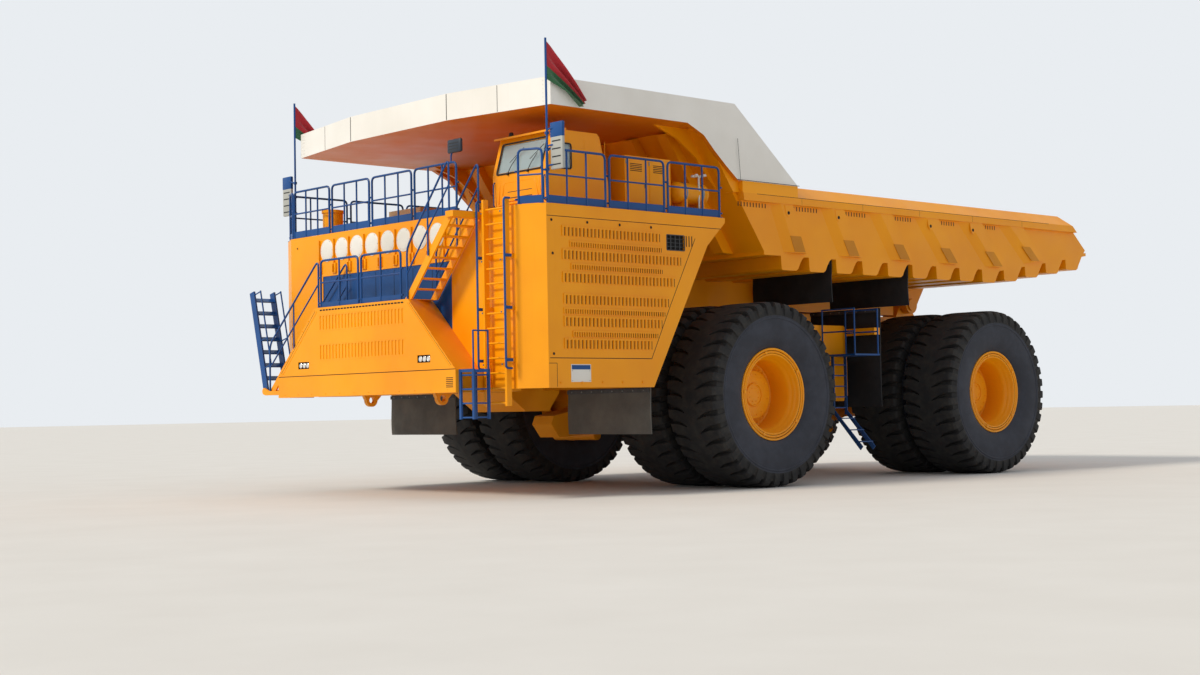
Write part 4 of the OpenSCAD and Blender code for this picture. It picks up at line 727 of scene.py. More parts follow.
# %% Canopy paint and painted shade
YELLOW_BELOW = 6.54
canopy_paint_and_shade = enamel("two_tone_canopy_and_painted_shade_enamel", "#EFEDE8", "#E2DFD8", dust="#BDB3A2")
tree = canopy_paint_and_shade.node_tree
shader = tree.nodes["Principled BSDF"]
where = add_node(tree, "ShaderNodeTexCoord").outputs
place = add_node(tree, "ShaderNodeSeparateXYZ", {0: where["Object"]}).outputs
normal = add_node(tree, "ShaderNodeSeparateXYZ", {0: where["Normal"]}).outputs
low_down = add_node(tree, "ShaderNodeMath", {0: place[2], 1: YELLOW_BELOW}, operation="LESS_THAN").outputs[0]
looks_down = add_node(tree, "ShaderNodeMath", {0: normal[2], 1: -0.3}, operation="LESS_THAN").outputs[0]
outwards = add_node(tree, "ShaderNodeMath", {0: normal[1], 1: place[1]}, operation="MULTIPLY").outputs[0]
looks_in = add_node(tree, "ShaderNodeMath", {0: outwards, 1: -1.5}, operation="LESS_THAN").outputs[0]
in_shade = add_node(tree, "ShaderNodeMath", {0: looks_down, 1: looks_in}, operation="MAXIMUM").outputs[0]
lay_over(tree, shader, low_down, "#F7A200")
# Orange painted shade on faces that look down or inwards
lay_over(tree, shader, in_shade, "#DB7D0C")
nodes["canopy"].data.materials[0] = canopy_paint_and_shade
print("canopy painted in", len(tree.nodes), "nodes")

# %% Seams and rivets of the canopy
FASCIA_Z = (7.63, 8.155)
form = bmesh.new()
for sign in (1, -1):
    corner, wing_end = Vector((9.32, sign * 1.71, 0)), Vector((8.86, sign * 4.41, 0))
    low, high = (Vector((0, 0, z)) for z in FASCIA_Z)
    seam = Vector((0.0035, 0.008, 0))
    middle = corner + Vector((0.0005, 0, 0))
    add_block(form, middle + low - seam, middle + high + seam, 1)
    slant = wing_end - corner
    square_to = Vector((abs(slant.y), sign * abs(slant.x), 0)).normalized()
    for share in (0.93, 0.955):
        foot = corner + slant * share
        add_bolt_row(form, foot + Vector((0, 0, 7.70)), foot + Vector((0, 0, 8.10)), 6, square_to, 0.012)
    middle = corner + slant * 0.5
    add_strip(form, middle + low, middle + high, 0.012, square_to, 0.003, 1)
    y, out = sign * 4.45, (0, sign, 0)
    add_strip(form, (3.60, y, 6.56), (3.67, y, 7.42), 0.010, out, 0.002, 1)
    add_strip(form, (1.72, y, 6.545), (3.70, y, 6.545), 0.012, out, 0.004, 1)
finish_piece("canopy_trim", form, [white, seam_dark_and_painted_shade], "bed")

# %% [markdown]
# ## The grille
# The sheet over the bumper is one big folded plate. Two bands of fine slots let air in, a row of short
# slits, drawn as dark plates of painted shade, runs under the walkway, and three small lamps sit at each
# side in a recess whose walls are painted dark as shade. Behind the slots a real grille has a yellow wind
# board, so the slots look like thin lines instead of black holes.

# %% Grille trim
FACE_X = 10.3
SLOT_BANDS = [(2.89, 3.18), (3.51, 3.80)]
SLOT_Y = 1.53
form = bmesh.new()
for low, high in SLOT_BANDS:
    add_block(form, (FACE_X - 0.020, -SLOT_Y, low - 0.02), (FACE_X - 0.012, SLOT_Y, high + 0.02))
    add_strip(form, (FACE_X, 0, low - 0.03), (FACE_X, 0, high + 0.03), 0.035, AHEAD, 0.003)
    for z in (low - 0.03, high + 0.03):
        add_strip(form, (FACE_X, -SLOT_Y - 0.02, z), (FACE_X, SLOT_Y + 0.02, z), 0.012, AHEAD, 0.003)
# Short slits under the walkway, dark plates of painted shade
for i in range(27):
    y = (i - 13) * 0.112
    add_block(form, (FACE_X, y - 0.042, 3.905), (FACE_X + 0.0015, y + 0.042, 3.935), 1)
for sign in (1, -1):
    add_strip(form, (FACE_X, sign * 2.98, 2.60), (FACE_X, sign * 1.62, 3.90), 0.02, AHEAD, 0.006)
    add_strip(form, (FACE_X, sign * 3.03, 2.62), (FACE_X, sign * 1.69, 3.90), 0.008, AHEAD, 0.0015, 1)
    add_bolt_row(form, (FACE_X, sign * 3.06, 2.66), (FACE_X, sign * 1.72, 3.92), 7, AHEAD, 0.014)
add_strip(form, (FACE_X, -3.15, 2.548), (FACE_X, 3.15, 2.548), 0.012, AHEAD, 0.0015, 1)
add_strip(form, (FACE_X, -3.15, 2.57), (FACE_X, 3.15, 2.57), 0.022, AHEAD, 0.008)
# Six short slits at the side, dark plates of painted shade
for i in range(6):
    add_block(form, (FACE_X, 2.86, 2.20 + i * 0.035), (FACE_X + 0.0015, 3.08, 2.215 + i * 0.035), 1)
add_bolt_row(form, (FACE_X, -2.9, 2.155), (FACE_X, 2.897, 2.155), 12, AHEAD, 0.014)
finish_piece("grille_trim", form, [yellow, seam_dark_and_painted_shade])

# %% Lamp groups
LAMP_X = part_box("headlamps")[1].x
LAMP_Y, LAMP_Z, LAMP_PITCH = 2.15, (2.704, 2.846), 0.132
RECESS = 0.022
LAMP_SHELL = [(0.0, 0.001), (0.020, 0.004), (0.040, 0.012), (0.050, 0.020), (0.054, 0.021), (0.058, 0.018),
              (0.060, 0.010), (0.060, 0.0)]
LAMP_LENS = [(0.0, 0.020), (0.020, 0.0195), (0.038, 0.018), (0.0495, 0.0155)]
form = bmesh.new()
for sign in (1, -1):
    y0, y1 = sign * LAMP_Y - 0.205, sign * LAMP_Y + 0.205
    # The recess's back and side walls are painted dark as shade
    add_block(form, (LAMP_X - 0.030, y0, LAMP_Z[0]), (LAMP_X - RECESS, y1, LAMP_Z[1]))
    for y in (y0, y1 - 0.006):
        add_block(form, (LAMP_X - RECESS, y, LAMP_Z[0]), (LAMP_X, y + 0.006, LAMP_Z[1]))
    for i in (-1, 0, 1):
        middle = (LAMP_X - RECESS, sign * LAMP_Y + i * LAMP_PITCH, sum(LAMP_Z) / 2)
        turn_shape(form, LAMP_SHELL, middle, AHEAD, 32, 1)
        turn_shape(form, LAMP_LENS, middle, AHEAD, 32, 2)
finish_piece("lamp_groups", form, [seam_dark_and_painted_shade, chrome, lens_glass], replaced=["headlamps"],
             weld=True, recalc=False)

# %% Intake covers
COVER_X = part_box("intake_covers")[0].x
COVER_PROFILE = [
    (0.0, 0.034), (0.012, 0.034), (0.016, 0.030), (0.060, 0.031), (0.120, 0.029), (0.170, 0.025),
    (0.205, 0.019), (0.222, 0.013), (0.228, 0.009), (0.236, 0.009), (0.243, 0.012), (0.245, 0.009),
    (0.245, 0.0), (0.0, 0.0),
]
COVER_MIDDLE_Y, COVER_PITCH = -0.51, 0.57
form = bmesh.new()
for i in range(8):
    middle = Vector((COVER_X, COVER_MIDDLE_Y + (i - 3.5) * COVER_PITCH, 5.31))
    turn_shape(form, COVER_PROFILE, middle, AHEAD, 64)
    for k in range(6):
        angle = math.tau * (k + 0.5) / 6
        seat = middle + Vector((0.012, 0.215 * math.sin(angle), 0.215 * math.cos(angle)))
        add_bolt(form, seat, AHEAD, 0.010, 1)
finish_piece("intake_cover_domes", form, [white, bolt_steel], replaced=["intake_covers"],
             weld=True)

# %% Brackets and panel seams on the front wall
WALL_X = 9.43
form = bmesh.new()
for i in range(9):
    y = COVER_MIDDLE_Y + (i - 4) * COVER_PITCH
    add_block(form, (WALL_X - 0.002, y - 0.075, 4.80), (WALL_X + 0.035, y + 0.075, 5.02), soften=0.006)
    add_block(form, (WALL_X + 0.035, y - 0.012, 4.82), (WALL_X + 0.075, y + 0.012, 5.00))
low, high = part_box("radiator_panel")
for i in range(1, 7):
    y = low.y + (high.y - low.y) * i / 7
    add_block(form, (high.x - 0.001, y - 0.006, low.z + 0.05),
              (high.x + 0.002, y + 0.006, high.z - 0.05), 1)
bolt_z = high.z - 0.045
add_bolt_row(form, (high.x, low.y + 0.08, bolt_z), (high.x, high.y - 0.08, bolt_z), 20, AHEAD, 0.013, 2)
for y, z in [(3.05, 5.45), (3.05, 3.0), (-3.7, 5.45), (-3.7, 2.5), (3.75, 5.45)]:
    # Each hole is a yellow ring round a dark disc of painted shade
    add_round(form, (WALL_X - 0.004, y, z), (WALL_X + 0.005, y, z), 0.032, 0)
    add_round(form, (WALL_X, y, z), (WALL_X + 0.0065, y, z), 0.021, 1)
finish_piece("front_wall_trim", form, [yellow, seam_dark_and_painted_shade, blue])

# %% [markdown]
# ## Guards and handrails
# Every walkway has guards of bent blue tube: a hoop with round corners, a knee rail, thin posts and a
# toe board at the foot, clamped to the next hoop. The tube is laid along its path, ring by ring, so
# that the bends are real bends and not mitred corners.

# %% Guard sections
DECK_Z = 5.68
WALKWAY_Z = 3.98
POST_INSET = 0.055


def add_guard(form, start, end, floor_z, height=1.08, posts=2, tube=0.024, toe=0.15):
    start, end = Vector((*start, floor_z)), Vector((*end, floor_z))
    along = (end - start).normalized()
    start, end = start + along * POST_INSET, end - along * POST_INSET
    up = Vector((0, 0, height - tube))
    lay_tube(form, round_bends([start, start + up, end + up, end]), tube)
    knee = Vector((0, 0, height * 0.52))
    lay_tube(form, [start + knee, end + knee], tube * 0.75, sides=8)
    for i in range(1, posts + 1):
        foot = start.lerp(end, i / (posts + 1))
        lay_tube(form, [foot, foot + up], tube * 0.8, sides=8)
    across = along.cross(Vector(UPWARDS)) * 0.004
    lift, top = Vector((0, 0, 0.012)), Vector((0, 0, 0.012 + toe))
    board = [start + lift, end + lift, end + top, start + top]
    add_plate(form, [corner - across for corner in board], across * 2)
    for foot, inward in ((start, along), (end, -along)):
        add_block(form, foot - Vector((0.045, 0.045, 0)), foot + Vector((0.045, 0.045, 0.012)))
        for z in (0.08, 0.62):
            low_corner = foot - inward * 0.05 + Vector((-0.020, -0.020, z))
            add_block(form, low_corner, low_corner + Vector((0.040, 0.040, 0.035)), soften=0.005)


def share_out(form, start, end, sections, floor_z, **settings):
    """Guards in as many equal sections from start to end."""
    ends = [Vector(start).lerp(Vector(end), i / sections) for i in range(sections + 1)]
    for pair in zip(ends, ends[1:]):
        add_guard(form, *pair, floor_z, **settings)


form = bmesh.new()
for sign in (1, -1):
    share_out(form, (4.27, sign * 4.50), (9.115, sign * 4.50), 3, DECK_Z)
    share_out(form, (9.115, sign * 4.50), (9.38, sign * 3.945), 1, DECK_Z, posts=0)
share_out(form, (9.38, -3.945), (9.38, 2.14), 4, DECK_Z)
finish_piece("deck_guard_rails", form, [blue], replaced=["deck_guards"])


# %% Walkway guard, stair rails and ladder handrails
def add_stair_rail(form, x, foot, head, height=1.02, posts=2, tube=0.021):
    foot, head = Vector((x, *foot)), Vector((x, *head))
    up = Vector((0, 0, height))
    lay_tube(form, round_bends([foot, foot + up, head + up, head], 0.16, 5), tube)
    lay_tube(form, [foot + up * 0.5, head + up * 0.5], tube * 0.8, sides=8)
    for i in range(1, posts):
        place = foot.lerp(head, i / posts)
        lay_tube(form, [place, place + up], tube * 0.85, sides=8)


form = bmesh.new()
share_out(form, (10.2263, -1.61), (10.2263, 1.38), 2, WALKWAY_Z, height=1.02, posts=1, toe=0.10)
for x in (9.5037, 10.2263):
    add_stair_rail(form, x, (-3.615, 2.26), (-1.65, 3.98))
    add_stair_rail(form, x, (1.54, 3.98), (2.94, 5.61))
for y in (3.13, 3.97):
    rail = [(9.56, 2.54), (9.71, 2.54), (9.71, 2.75), (9.71, 5.62), (9.71, 5.80), (9.56, 5.80)]
    lay_tube(form, round_bends([(x, y, z) for x, z in rail], 0.09), 0.022)
    for z in (2.7, 3.7, 4.7):
        add_block(form, (9.55, y - 0.028, z - 0.03), (9.715, y + 0.028, z + 0.03), soften=0.008)
        add_bolt(form, (9.715, y, z), AHEAD, 0.016, 1)
finish_piece("walkway_rails", form, [blue, bolt_steel], replaced=["walkway_guards"])

# %% [markdown]
# ## Flags of thin cloth
# Two small flags hang from the poles with hardly any wind. Woven cloth can't stretch, so where a flag
# droops it has to gather into pleats. The grid below knows its flat size, and the depth of the pleats
# is searched until the hanging cloth has the flat cloth's area. It is red above and green below.

# %% Flag cloth
FLAG_CUT = (1.42, 0.74)
FLAG_CORNER = (8.976, 4.445, 8.82)
GREEN_SHARE = 0.36
THREADS, THREADS_SHOW = 60, 0.12


def woven_cloth(name, upper, lower):
    material, tree, shader = new_material(name, Base_Color=srgb(lower), Roughness=0.85, Sheen_Weight=0.25)
    cut = add_node(tree, "ShaderNodeUVMap").outputs[0]
    up = add_node(tree, "ShaderNodeSeparateXYZ", {0: cut}).outputs[1]
    is_upper = add_node(tree, "ShaderNodeMath", {0: up, 1: GREEN_SHARE}, operation="GREATER_THAN")
    lay_over(tree, shader, is_upper.outputs[0], upper)
    threads = add_node(tree, "ShaderNodeTexWave", {"Vector": cut, "Scale": THREADS, "Distortion": 0.5})
    height = threads.outputs[1]
    faded = add_node(tree, "ShaderNodeMath", {0: height, 1: THREADS_SHOW}, operation="MULTIPLY").outputs[0]
    lay_over(tree, shader, faded, "#9A4A48")
    weave = add_node(tree, "ShaderNodeBump", {"Height": height, "Distance": 0.001})
    tree.links.new(weave.outputs[0], shader.inputs["Normal"])
    return material


def hang_flag(form, flat_places, side, depth):
    """Moves the flat grid to its hanging place; depth is how deep the pleats are at the free end."""
    x, y, z = FLAG_CORNER
    for vert, (u, v) in zip(form.verts, flat_places):
        top = Vector((-0.93 * u, 0, -(0.80 * u + 0.24 * u * u)))
        foot = Vector((-0.84 * u, 0, -FLAG_CUT[1] - (0.36 * u + 0.10 * u * u)))
        fold = (0.10 + 0.90 * u) * depth * math.sin(math.tau * 2.5 * v + 1.7 * u) * min(1, u * 6)
        sway = Vector((0, fold + 0.03 * math.sin(3.2 * u), 0))
        vert.co = Vector((x, side * y, z)) + (top * v + foot * (1 - v)) + sway


def make_flag(name, side):
    form = bmesh.new()
    bmesh.ops.create_grid(form, x_segments=60, y_segments=48, size=0.5)
    flat_places = [(vert.co.x + 0.5, vert.co.y + 0.5) for vert in form.verts]
    layer = form.loops.layers.uv.new("cut")
    for face in form.faces:
        for loop in face.loops:
            loop[layer].uv = (loop.vert.co.x + 0.5, loop.vert.co.y + 0.5)
    shallow, deep = 0.0, 0.25
    for attempt in range(14):
        depth = (shallow + deep) / 2
        hang_flag(form, flat_places, side, depth)
        area = sum(face.calc_area() for face in form.faces)
        shallow, deep = (depth, deep) if area < FLAG_CUT[0] * FLAG_CUT[1] else (shallow, depth)
    print(name, "pleats", round(depth, 3), "m deep, area", round(area, 3), "m2")
    flag = finish_piece(name, form, [flag_cloth], replaced=["flags"], recalc=False)


flag_cloth = woven_cloth("printed_polyester_flag_cloth", "#B8202E", "#1F6B45")
make_flag("flag_left", 1)
make_flag("flag_right", -1)

# %% [markdown]
# ## Mirrors
# The side mirrors are tall grey housings with a blue cap, held by three bent tubes. The one in front is
# a wide dark shell on a stem. Each has a real plate of silvered glass on the side that the driver sees.

# %% Mirrors
form = bmesh.new()
for sign in (1, -1):
    y0, y1 = sorted((sign * 4.58, sign * 4.93))
    pole_y = sign * 4.445
    add_block(form, (8.966, y0, 6.31), (9.036, y1, 7.00), 0, soften=0.022)
    add_block(form, (8.968, y0 - 0.004, 6.92), (9.040, y1 + 0.004, 7.215), 1, soften=0.018)
    for low, high in ((6.35, 6.62), (6.65, 6.97)):
        add_block(form, (8.961, y0 + 0.03, low), (8.967, y1 - 0.03, high), 2)
    for z in (6.40, 6.78, 7.10):
        arm = [(9.0, sign * 4.45, z - 0.05), (9.05, sign * 4.50, z - 0.05), (9.06, sign * 4.56, z),
               (9.03, sign * 4.66, z)]
        lay_tube(form, round_bends(arm, 0.05), 0.016, 1, sides=8)
        add_block(form, (8.97, pole_y - 0.035, z - 0.09), (9.03, pole_y + 0.035, z - 0.03), 1, 0.008)
    for z in (6.40, 6.55, 6.70, 6.85):
        add_block(form, (9.030, y0 + 0.05, z - 0.012), (9.040, y1 - 0.05, z + 0.012), 4)
add_block(form, (9.342, 1.835, 6.915), (9.418, 2.275, 7.195), 3, soften=0.034)
add_block(form, (9.3395, 1.87, 6.95), (9.343, 2.24, 7.16), 2)
for z in (6.99, 7.05, 7.11):
    add_block(form, (9.414, 1.90, z - 0.010), (9.4215, 2.21, z + 0.010), 4)
stem = [(9.38, 1.92, 6.74), (9.38, 1.92, 6.90), (9.38, 2.02, 6.98)]
lay_tube(form, round_bends(stem, 0.06), 0.018, 1)
finish_piece("mirror_set", form, [shell_grey, blue, silvered_glass, shell_dark, black_plastic],
             replaced=["mirrors"])

# %% [markdown]
# ## Rubber flaps
# Heavy rubber sheets keep stones from the hoists and the engine. Each hangs from a steel bar with a row
# of bolts, bows a little, and ripples along its free edge.

# %% Flaps
FLAP_THICK = 0.028
FLAP_BOLTS = 8
# Name, x, inner and outer edge, foot and head, body, part it replaces, and rubber
FLAPS = [
    ("front_flap", 6.40, (1.95, 4.45), (1.21, 2.15), "truck", "mud_flaps", grey_rubber),
    ("middle_flap", -1.715, (1.71, 3.84), (1.67, 3.99), "truck", "mud_flaps", sheet_rubber),
    ("bed_flap_front", 0.43, (1.81, 4.20), (4.05, 4.995), "bed", "bed_flaps", sheet_rubber),
    ("bed_flap_rear", -2.34, (1.81, 4.20), (4.05, 4.995), "bed", "bed_flaps", sheet_rubber),
]


def make_flap(name, x, y_range, z_range, body, replaced, finish):
    (y0, y1), (z0, z1) = y_range, z_range
    form = bmesh.new()
    stand = Matrix(((0, 0, 1, 0), (1, 0, 0, 0), (0, 1, 0, 0), (0, 0, 0, 1)))
    made = bmesh.ops.create_grid(form, x_segments=28, y_segments=16, size=0.5, matrix=stand)["verts"]
    bmesh.ops.scale(form, vec=(1, y1 - y0, z1 - z0), verts=made)
    bmesh.ops.translate(form, vec=(x - FLAP_THICK / 2, (y0 + y1) / 2, (z0 + z1) / 2), verts=made)
    bmesh.ops.solidify(form, geom=form.faces[:], thickness=FLAP_THICK)
    for vert in form.verts:
        hang = (z1 - vert.co.z) / (z1 - z0)
        ripple = 0.010 * math.sin(3.1 * vert.co.y + 4.0 * hang) + 0.006 * math.sin(7.3 * vert.co.y)
        vert.co.x += hang * (ripple + 0.018 * math.sin(math.pi * hang))
    bmesh.ops.recalc_face_normals(form, faces=form.faces)
    margin = (y1 - y0) / FLAP_BOLTS / 2
    for sign in (1, -1):
        face_x = x + sign * (FLAP_THICK / 2 + 0.001)
        bar_x = face_x + sign * 0.010
        add_block(form, (face_x, y0 + 0.01, z1 - 0.10), (bar_x, y1 - 0.01, z1 - 0.02), 1)
        first, last = (bar_x, y0 + margin, z1 - 0.06), (bar_x, y1 - margin, z1 - 0.06)
        add_bolt_row(form, first, last, FLAP_BOLTS, (sign, 0, 0), 0.016, 2)
    finish_piece(name, form, [finish, iron, bolt_steel], body, [replaced], recalc=False)


for side, sign in (("left", 1), ("right", -1)):
    for name, x, across, z_range, body, replaced, finish in FLAPS:
        make_flap(f"{name}_{side}", x, sorted(sign * y for y in across), z_range, body, replaced, finish)

# %% [markdown]
# ## The cab
# The cab is a pressed steel box. Its windows sit in black rubber seals, and under the windscreen the
# sheet has two pressed frames, one in the other. Wipers, a small beacon and grab rails finish it.

# %% Window seals and wipers
form = bmesh.new()
screen = [(8.626, 2.43, 6.475), (8.626, 3.82, 6.475), (8.441, 3.82, 7.105), (8.441, 2.43, 7.105)]
lay_ring(form, screen, 0.05, 3, 0.018, 1, 8)
side_window = [(7.955, 3.955, 6.485), (8.325, 3.955, 6.485), (8.325, 3.955, 6.985), (7.955, 3.955, 6.985)]
lay_ring(form, side_window, 0.05, 3, 0.015, 1, 8)
for y in (2.80, 3.42):
    foot, tip = Vector((8.645, y, 6.46)), Vector((8.560, y + 0.22, 6.80))
    blade = [tip + Vector((0.035, -0.20, -0.11)), tip + Vector((-0.045, 0.16, 0.16))]
    lay_tube(form, [foot, foot.lerp(tip, 0.5) + Vector((0.02, 0, 0)), tip], 0.008, 1, sides=6)
    lay_tube(form, blade, 0.007, 1, sides=6)
    add_round(form, (8.60, y, 6.455), (8.66, y, 6.455), 0.022, 1, sides=16)
print("seals and wipers have", len(form.faces), "faces")

# %% Pressed frames, beacon and grab rails
FRAME_X = 8.600
BEACON = [(0.0, 0.10), (0.030, 0.098), (0.045, 0.085), (0.050, 0.03), (0.060, 0.022), (0.060, 0.0),
          (0.0, 0.0)]
for inset in (0.0, 0.11):
    low, high = 5.86 + inset * 0.6, 6.36 - inset * 0.6
    pressing = [(FRAME_X, 2.44 + inset, low), (FRAME_X, 3.80 - inset, low), (FRAME_X, 3.70 - inset, high),
                (FRAME_X, 2.54 + inset, high)]
    lay_ring(form, pressing, 0.03, 2, 0.016, 0, 8)
for z in (5.98, 6.10, 6.22):
    add_block(form, (8.580, 2.75, z - 0.006), (8.603, 3.50, z + 0.006), 1)
turn_shape(form, BEACON, (8.33, 2.56, 7.255), UPWARDS, 24, 1)
for y in (2.36, 3.92):
    grab = [(8.50, y, 5.80), (8.65, y, 5.84), (8.65, y, 6.32), (8.50, y, 6.36)]
    lay_tube(form, round_bends(grab, 0.05), 0.013, 3, sides=8)
for x in (7.60, 7.05):
    add_block(form, (x - 0.005, 3.948, 5.75), (x + 0.005, 3.953, 7.10))
finish_piece("cab_trim", form, [yellow, black_plastic, bolt_steel, blue])


# %% Seats
def add_cushion(form, low, high):
    """A block with round edges whose big faces swell towards their middle."""
    low, high = Vector(low), Vector(high)
    made = bmesh.ops.create_cube(form, size=1.0)["verts"]
    edges = list({edge for vert in made for edge in vert.link_edges})
    bmesh.ops.subdivide_edges(form, edges=edges, cuts=9, use_grid_fill=True)
    size, middle = high - low, (low + high) / 2
    thin = min(range(3), key=lambda axis: size[axis])
    wide = [axis for axis in range(3) if axis != thin]
    for vert in form.verts:
        place = vert.co * 2
        place[thin] *= 1 - 0.19 * sum(abs(place[axis]) ** 5 for axis in wide)
        for axis in wide:
            place[axis] *= 1 - 0.07 * place[thin] ** 2
        vert.co = Vector([place[axis] * size[axis] / 2 for axis in range(3)]) + middle


SEAT_Y = {"left": 3.39, "right": 2.78}
for side, y in SEAT_Y.items():
    for part, low, high in (("seat", (7.34, y - 0.25, 6.10), (7.84, y + 0.25, 6.25)),
                            ("back", (7.28, y - 0.24, 6.19), (7.40, y + 0.24, 6.79))):
        form = bmesh.new()
        add_cushion(form, low, high)
        cushion = finish_piece(f"cab_{part}_{side}", form, [seat_cloth],
                               replaced=["cab_interior"], weld=True)

# %% Console and steering wheel
SEAT_FOOT = [(0.0, 0.36), (0.11, 0.36), (0.12, 0.34), (0.09, 0.30), (0.08, 0.05), (0.14, 0.02), (0.14, 0.0),
             (0.0, 0.0)]
form = bmesh.new()
for y in SEAT_Y.values():
    turn_shape(form, SEAT_FOOT, (7.58, y, 5.74), UPWARDS, 32)
add_block(form, (8.17, 2.46, 5.74), (8.46, 3.79, 6.35), soften=0.05)
wheel_middle, wheel_axis = Vector((8.11, 3.39, 6.38)), Vector((-0.87, 0, 0.5))
spoke = Vector((0.105, 0, 0.182))
rim = [wheel_middle + Matrix.Rotation(math.tau * i / 24, 4, wheel_axis) @ spoke for i in range(25)]
lay_tube(form, rim, 0.016, sides=8)
lay_tube(form, [wheel_middle - wheel_axis * 0.02, Vector((8.25, 3.39, 6.28))], 0.03, sides=8)
for i in range(3):
    lay_tube(form, [wheel_middle, rim[i * 8]], 0.012, sides=6)
finish_piece("cab_console", form, [black_plastic], replaced=["cab_interior"])

# %% [markdown]
# ## Things that stand on the deck
# Behind the cab stand a cabinet, an air tank with domed ends on two saddles, and a small white lamp
# post. On the other side are the filter drum with its clamped lid and the beige resistor cabinet, whose
# doors have air slits drawn as dark plates of painted shade, hinges and turned handles.

# %% Air tank
TANK_RADIUS = 0.225
tank_low, tank_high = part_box("air_tank")
long = tank_high.x - tank_low.x
tank = Vector((tank_low.x, (tank_low.y + tank_high.y) / 2, tank_high.z - TANK_RADIUS))
form = bmesh.new()
dome_angles = [math.pi / 2 * i / 8 for i in range(9)]
tank_end = [(TANK_RADIUS * math.sin(angle), 0.12 * (1 - math.cos(angle))) for angle in dome_angles]
tank_end += [(TANK_RADIUS + 0.003, 0.13), (TANK_RADIUS + 0.003, 0.15), (TANK_RADIUS, 0.155)]
tank_line = tank_end + [(radius, long - along) for radius, along in reversed(tank_end)]
turn_shape(form, tank_line, tank, AHEAD)
strap_out, strap_in = TANK_RADIUS + 0.006, TANK_RADIUS - 0.01
strap = [(strap_out, -0.02), (strap_out, 0.02), (strap_in, 0.02), (strap_in, -0.02), (strap_out, -0.02)]
for share in (0.25, 0.75):
    x = tank_low.x + long * share
    add_block(form, (x - 0.035, tank.y - 0.20, tank_low.z), (x + 0.035, tank.y + 0.20, tank.z - 0.15),
              soften=0.006)
    turn_shape(form, strap, (x, tank.y, tank.z), AHEAD, material=1)
finish_piece("air_tank_domed", form, [yellow, bolt_steel], replaced=["air_tank"])

# %% Lamp post and filter lid
POST_LAMP = [(0.0, 0.05), (0.03, 0.045), (0.045, 0.02), (0.045, 0.0), (0.0, 0.0)]
FILTER_LID = [(0.0, 0.030), (0.05, 0.030), (0.06, 0.018), (0.19, 0.012), (0.222, 0.004), (0.232, -0.004),
              (0.232, -0.028), (0.226, -0.032)]
form = bmesh.new()
post = Vector((4.62, 4.20, DECK_Z))
cross_height = Vector((0, 0, 0.88))
add_round(form, post, post + Vector((0, 0, 0.02)), 0.07)
lay_tube(form, [post, post + Vector((0, 0, 0.90))], 0.022, 0, 12)
for angle in (0.4, 0.4 + math.pi / 2):
    arm = Vector((math.cos(angle), math.sin(angle), 0)) * 0.13
    lay_tube(form, [post + cross_height - arm, post + cross_height + arm], 0.014, 0, 8)
    for end in (-1, 1):
        turn_shape(form, POST_LAMP, post + Vector((0, 0, 0.875)) + arm * end, UPWARDS, 16)
drum_low, drum_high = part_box("filter_drum")
drum = Vector(((drum_low.x + drum_high.x) / 2, (drum_low.y + drum_high.y) / 2, drum_high.z))
turn_shape(form, FILTER_LID, drum, UPWARDS, material=3)
for i in range(6):
    out = Vector((math.cos(math.tau * i / 6), math.sin(math.tau * i / 6), 0))
    add_bolt(form, drum + out * 0.228 - Vector((0, 0, 0.05)), out, 0.018, 1)
print("post and lid have", len(form.faces), "faces")


# %% Cabinet doors
def add_door(form, x0, x1, z0, z1, wall_y, sign, paint):
    """A door on the cabinet's wall, with a handle, two hinges and five air slits drawn as dark plates of
    painted shade.
    """
    skin_y, hinge_y = wall_y + sign * 0.012, wall_y + sign * 0.008
    middle = (z0 + z1) / 2
    add_block(form, (x0, wall_y, z0), (x1, skin_y, z1), paint, soften=0.004)
    add_block(form, (x0 + 0.05, skin_y, middle - 0.05), (x0 + 0.075, wall_y + sign * 0.030, middle + 0.05), 1,
              soften=0.004)
    for z in (z0 + 0.08, z1 - 0.08):
        add_round(form, (x1 + 0.005, hinge_y, z - 0.04), (x1 + 0.005, hinge_y, z + 0.04), 0.012, 1, 12)
    # Five air slits, dark plates of painted shade
    for k in range(5):
        top = z1 - 0.105 - k * 0.035
        add_block(form, (x0 + 0.14, skin_y, top - 0.015), (x1 - 0.10, wall_y + sign * 0.0135, top), 2)


for name, sign, doors, paint in (("deck_cabinet", 1, 2, 3), ("resistor_cabinet", -1, 3, 4)):
    low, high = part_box(name)
    wide = (high.x - low.x) / doors
    for i in range(doors):
        x = low.x + i * wide
        add_door(form, x + 0.04, x + wide - 0.04, low.z + 0.06, high.z - 0.05,
                 high.y if sign > 0 else low.y, sign, paint)
finish_piece("deck_gear", form, [white, bolt_steel, seam_dark_and_painted_shade, yellow, beige])

# %% [markdown]
# ## Details of the bed's sides
# Under the rail, each panel between two ribs has a row of short dark dashes, painted shade, drawn as the
# gaps between stitch welds. Wear plates cover the feet of the ribs, and a few ribs carry a lifting eye near
# the rail, whose hole is a dark disc of painted shade.

# %% Painted shade under the rail, wear plates and lifting eyes
PANEL_Y, RIB_Y, RAIL_Y = 4.30, 4.395, 4.41
RIB_PITCH = 1.69
WEAR_RISE = 0.34
# Outlines as (x, z): an eye's plate, with x from its rib's head, and the gusset behind the canopy
EYE = [(-0.56, 6.10), (-0.60, 5.92), (-0.52, 5.84), (-0.44, 5.92), (-0.40, 6.10)]
GUSSET = [(3.40, 6.30), (3.40, 6.70), (4.30, 7.36), (4.44, 7.36), (3.68, 6.30)]
scuffed_yellow = enamel("scuffed_yellow_enamel", "#D58A08", "#B97507", roughness=0.55)


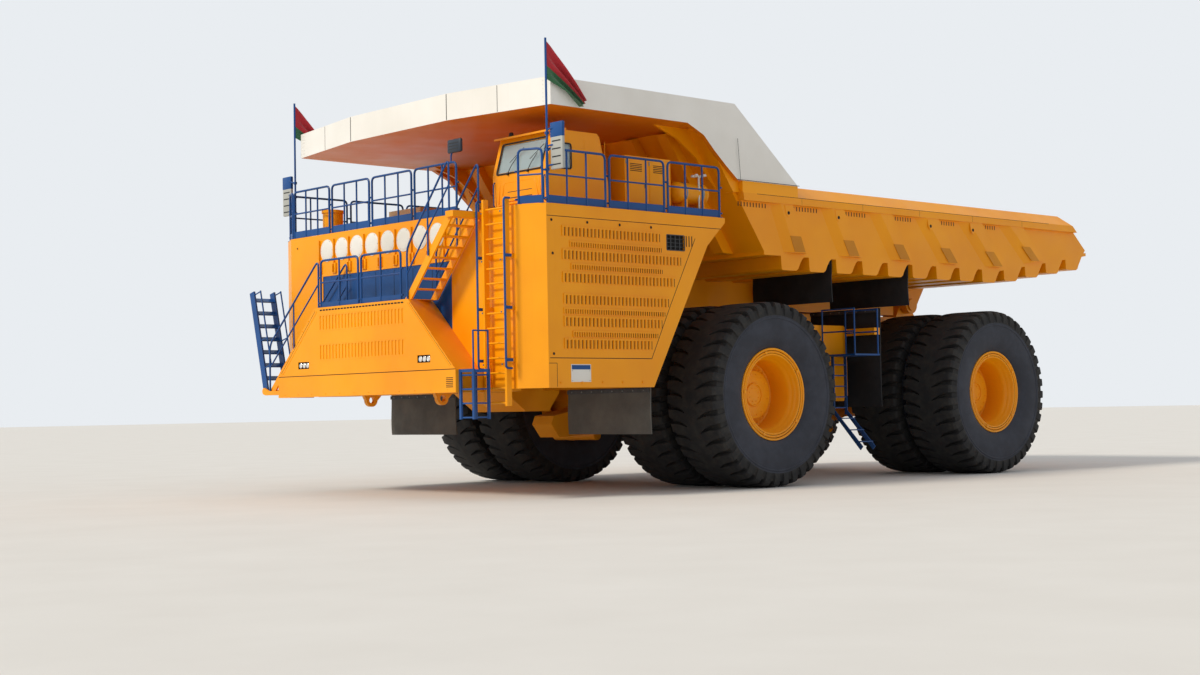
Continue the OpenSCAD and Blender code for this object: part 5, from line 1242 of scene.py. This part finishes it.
def add_rib_details(form, i, sign):
    y, proud = sign * RIB_Y, (0, sign * 0.010, 0)
    low_x, top_x = 2.12 - 1.858 * i, 2.56 - RIB_PITCH * i
    lean = (top_x - low_x) / 1.07
    foot = 5.30 if i == 5 else 5.10
    x, shift, top = low_x + (foot - 5.10) * lean, WEAR_RISE * lean, foot + WEAR_RISE
    add_plate(form, [(x - 0.61, y, foot), (x - 0.26, y, foot), (x - 0.26 + shift, y, top),
                     (x - 0.61 + shift, y, top)], proud, 2)
    if i in (0, 1, 3, 4):
        eye_x = top_x - 0.52
        add_plate(form, [(top_x + x, y, z) for x, z in EYE], proud)
        # The eye's hole is a dark disc of painted shade
        add_round(form, (eye_x, y + sign * 0.004, 5.94), (eye_x, y + sign * 0.013, 5.94), 0.038, 1)


form = bmesh.new()
for sign in (1, -1):
    for i in range(-1, 6):
        for k in range(6 if i == 5 else 10):
            # A short dark dash of painted shade under the rail
            x = 1.86 - RIB_PITCH * i - k * 0.095
            add_block(form, (x - 0.026, sign * PANEL_Y, 6.01), (x, sign * (PANEL_Y + 0.002), 6.105), 1)
    for i in range(6):
        add_rib_details(form, i, sign)
    y, out = sign * RAIL_Y, (0, sign, 0)
    add_strip(form, (-8.0, y, 6.285), (3.05, y, 6.285), 0.009, out, 0.001, 1)
    for i in range(5):
        add_strip(form, (1.6 - i * 2.1, y, 6.14), (1.6 - i * 2.1, y, 6.28), 0.006, out, 0.001, 1)
    add_plate(form, [(x, sign * 4.04, z) for x, z in GUSSET], (0, sign * 0.255, 0))
finish_piece("bed_side_trim", form, [yellow, seam_dark_and_painted_shade, scuffed_yellow], "bed")

# %% [markdown]
# ## Stairs, ladders and treads
# The treads are open gratings: thin bearing bars with a nosing in front. At this size only a few bars
# show, so each tread gets a flat plate and those bars. Bolted lugs hold the ladders to the wall.

# %% Treads and the bolts of the ladder lugs
GRATING_Z = WALKWAY_Z + 0.010
form = bmesh.new()
for y in (-1.2, -0.4, 0.4, 1.2):
    add_block(form, (9.50, y - 0.33, WALKWAY_Z), (10.20, y + 0.33, GRATING_Z), 0, soften=0.003)
    for k in range(7):
        bar_y = y - 0.29 + k * 0.095
        add_block(form, (9.53, bar_y, GRATING_Z), (10.17, bar_y + 0.010, GRATING_Z + 0.006), 1)
for z in (2.62, 3.62, 4.62, 5.55):
    for y in (3.26, 3.84):
        add_bolt(form, (9.70, y, z), AHEAD, 0.018, 1)
finish_piece("walkway_treads", form, [yellow, bolt_steel])
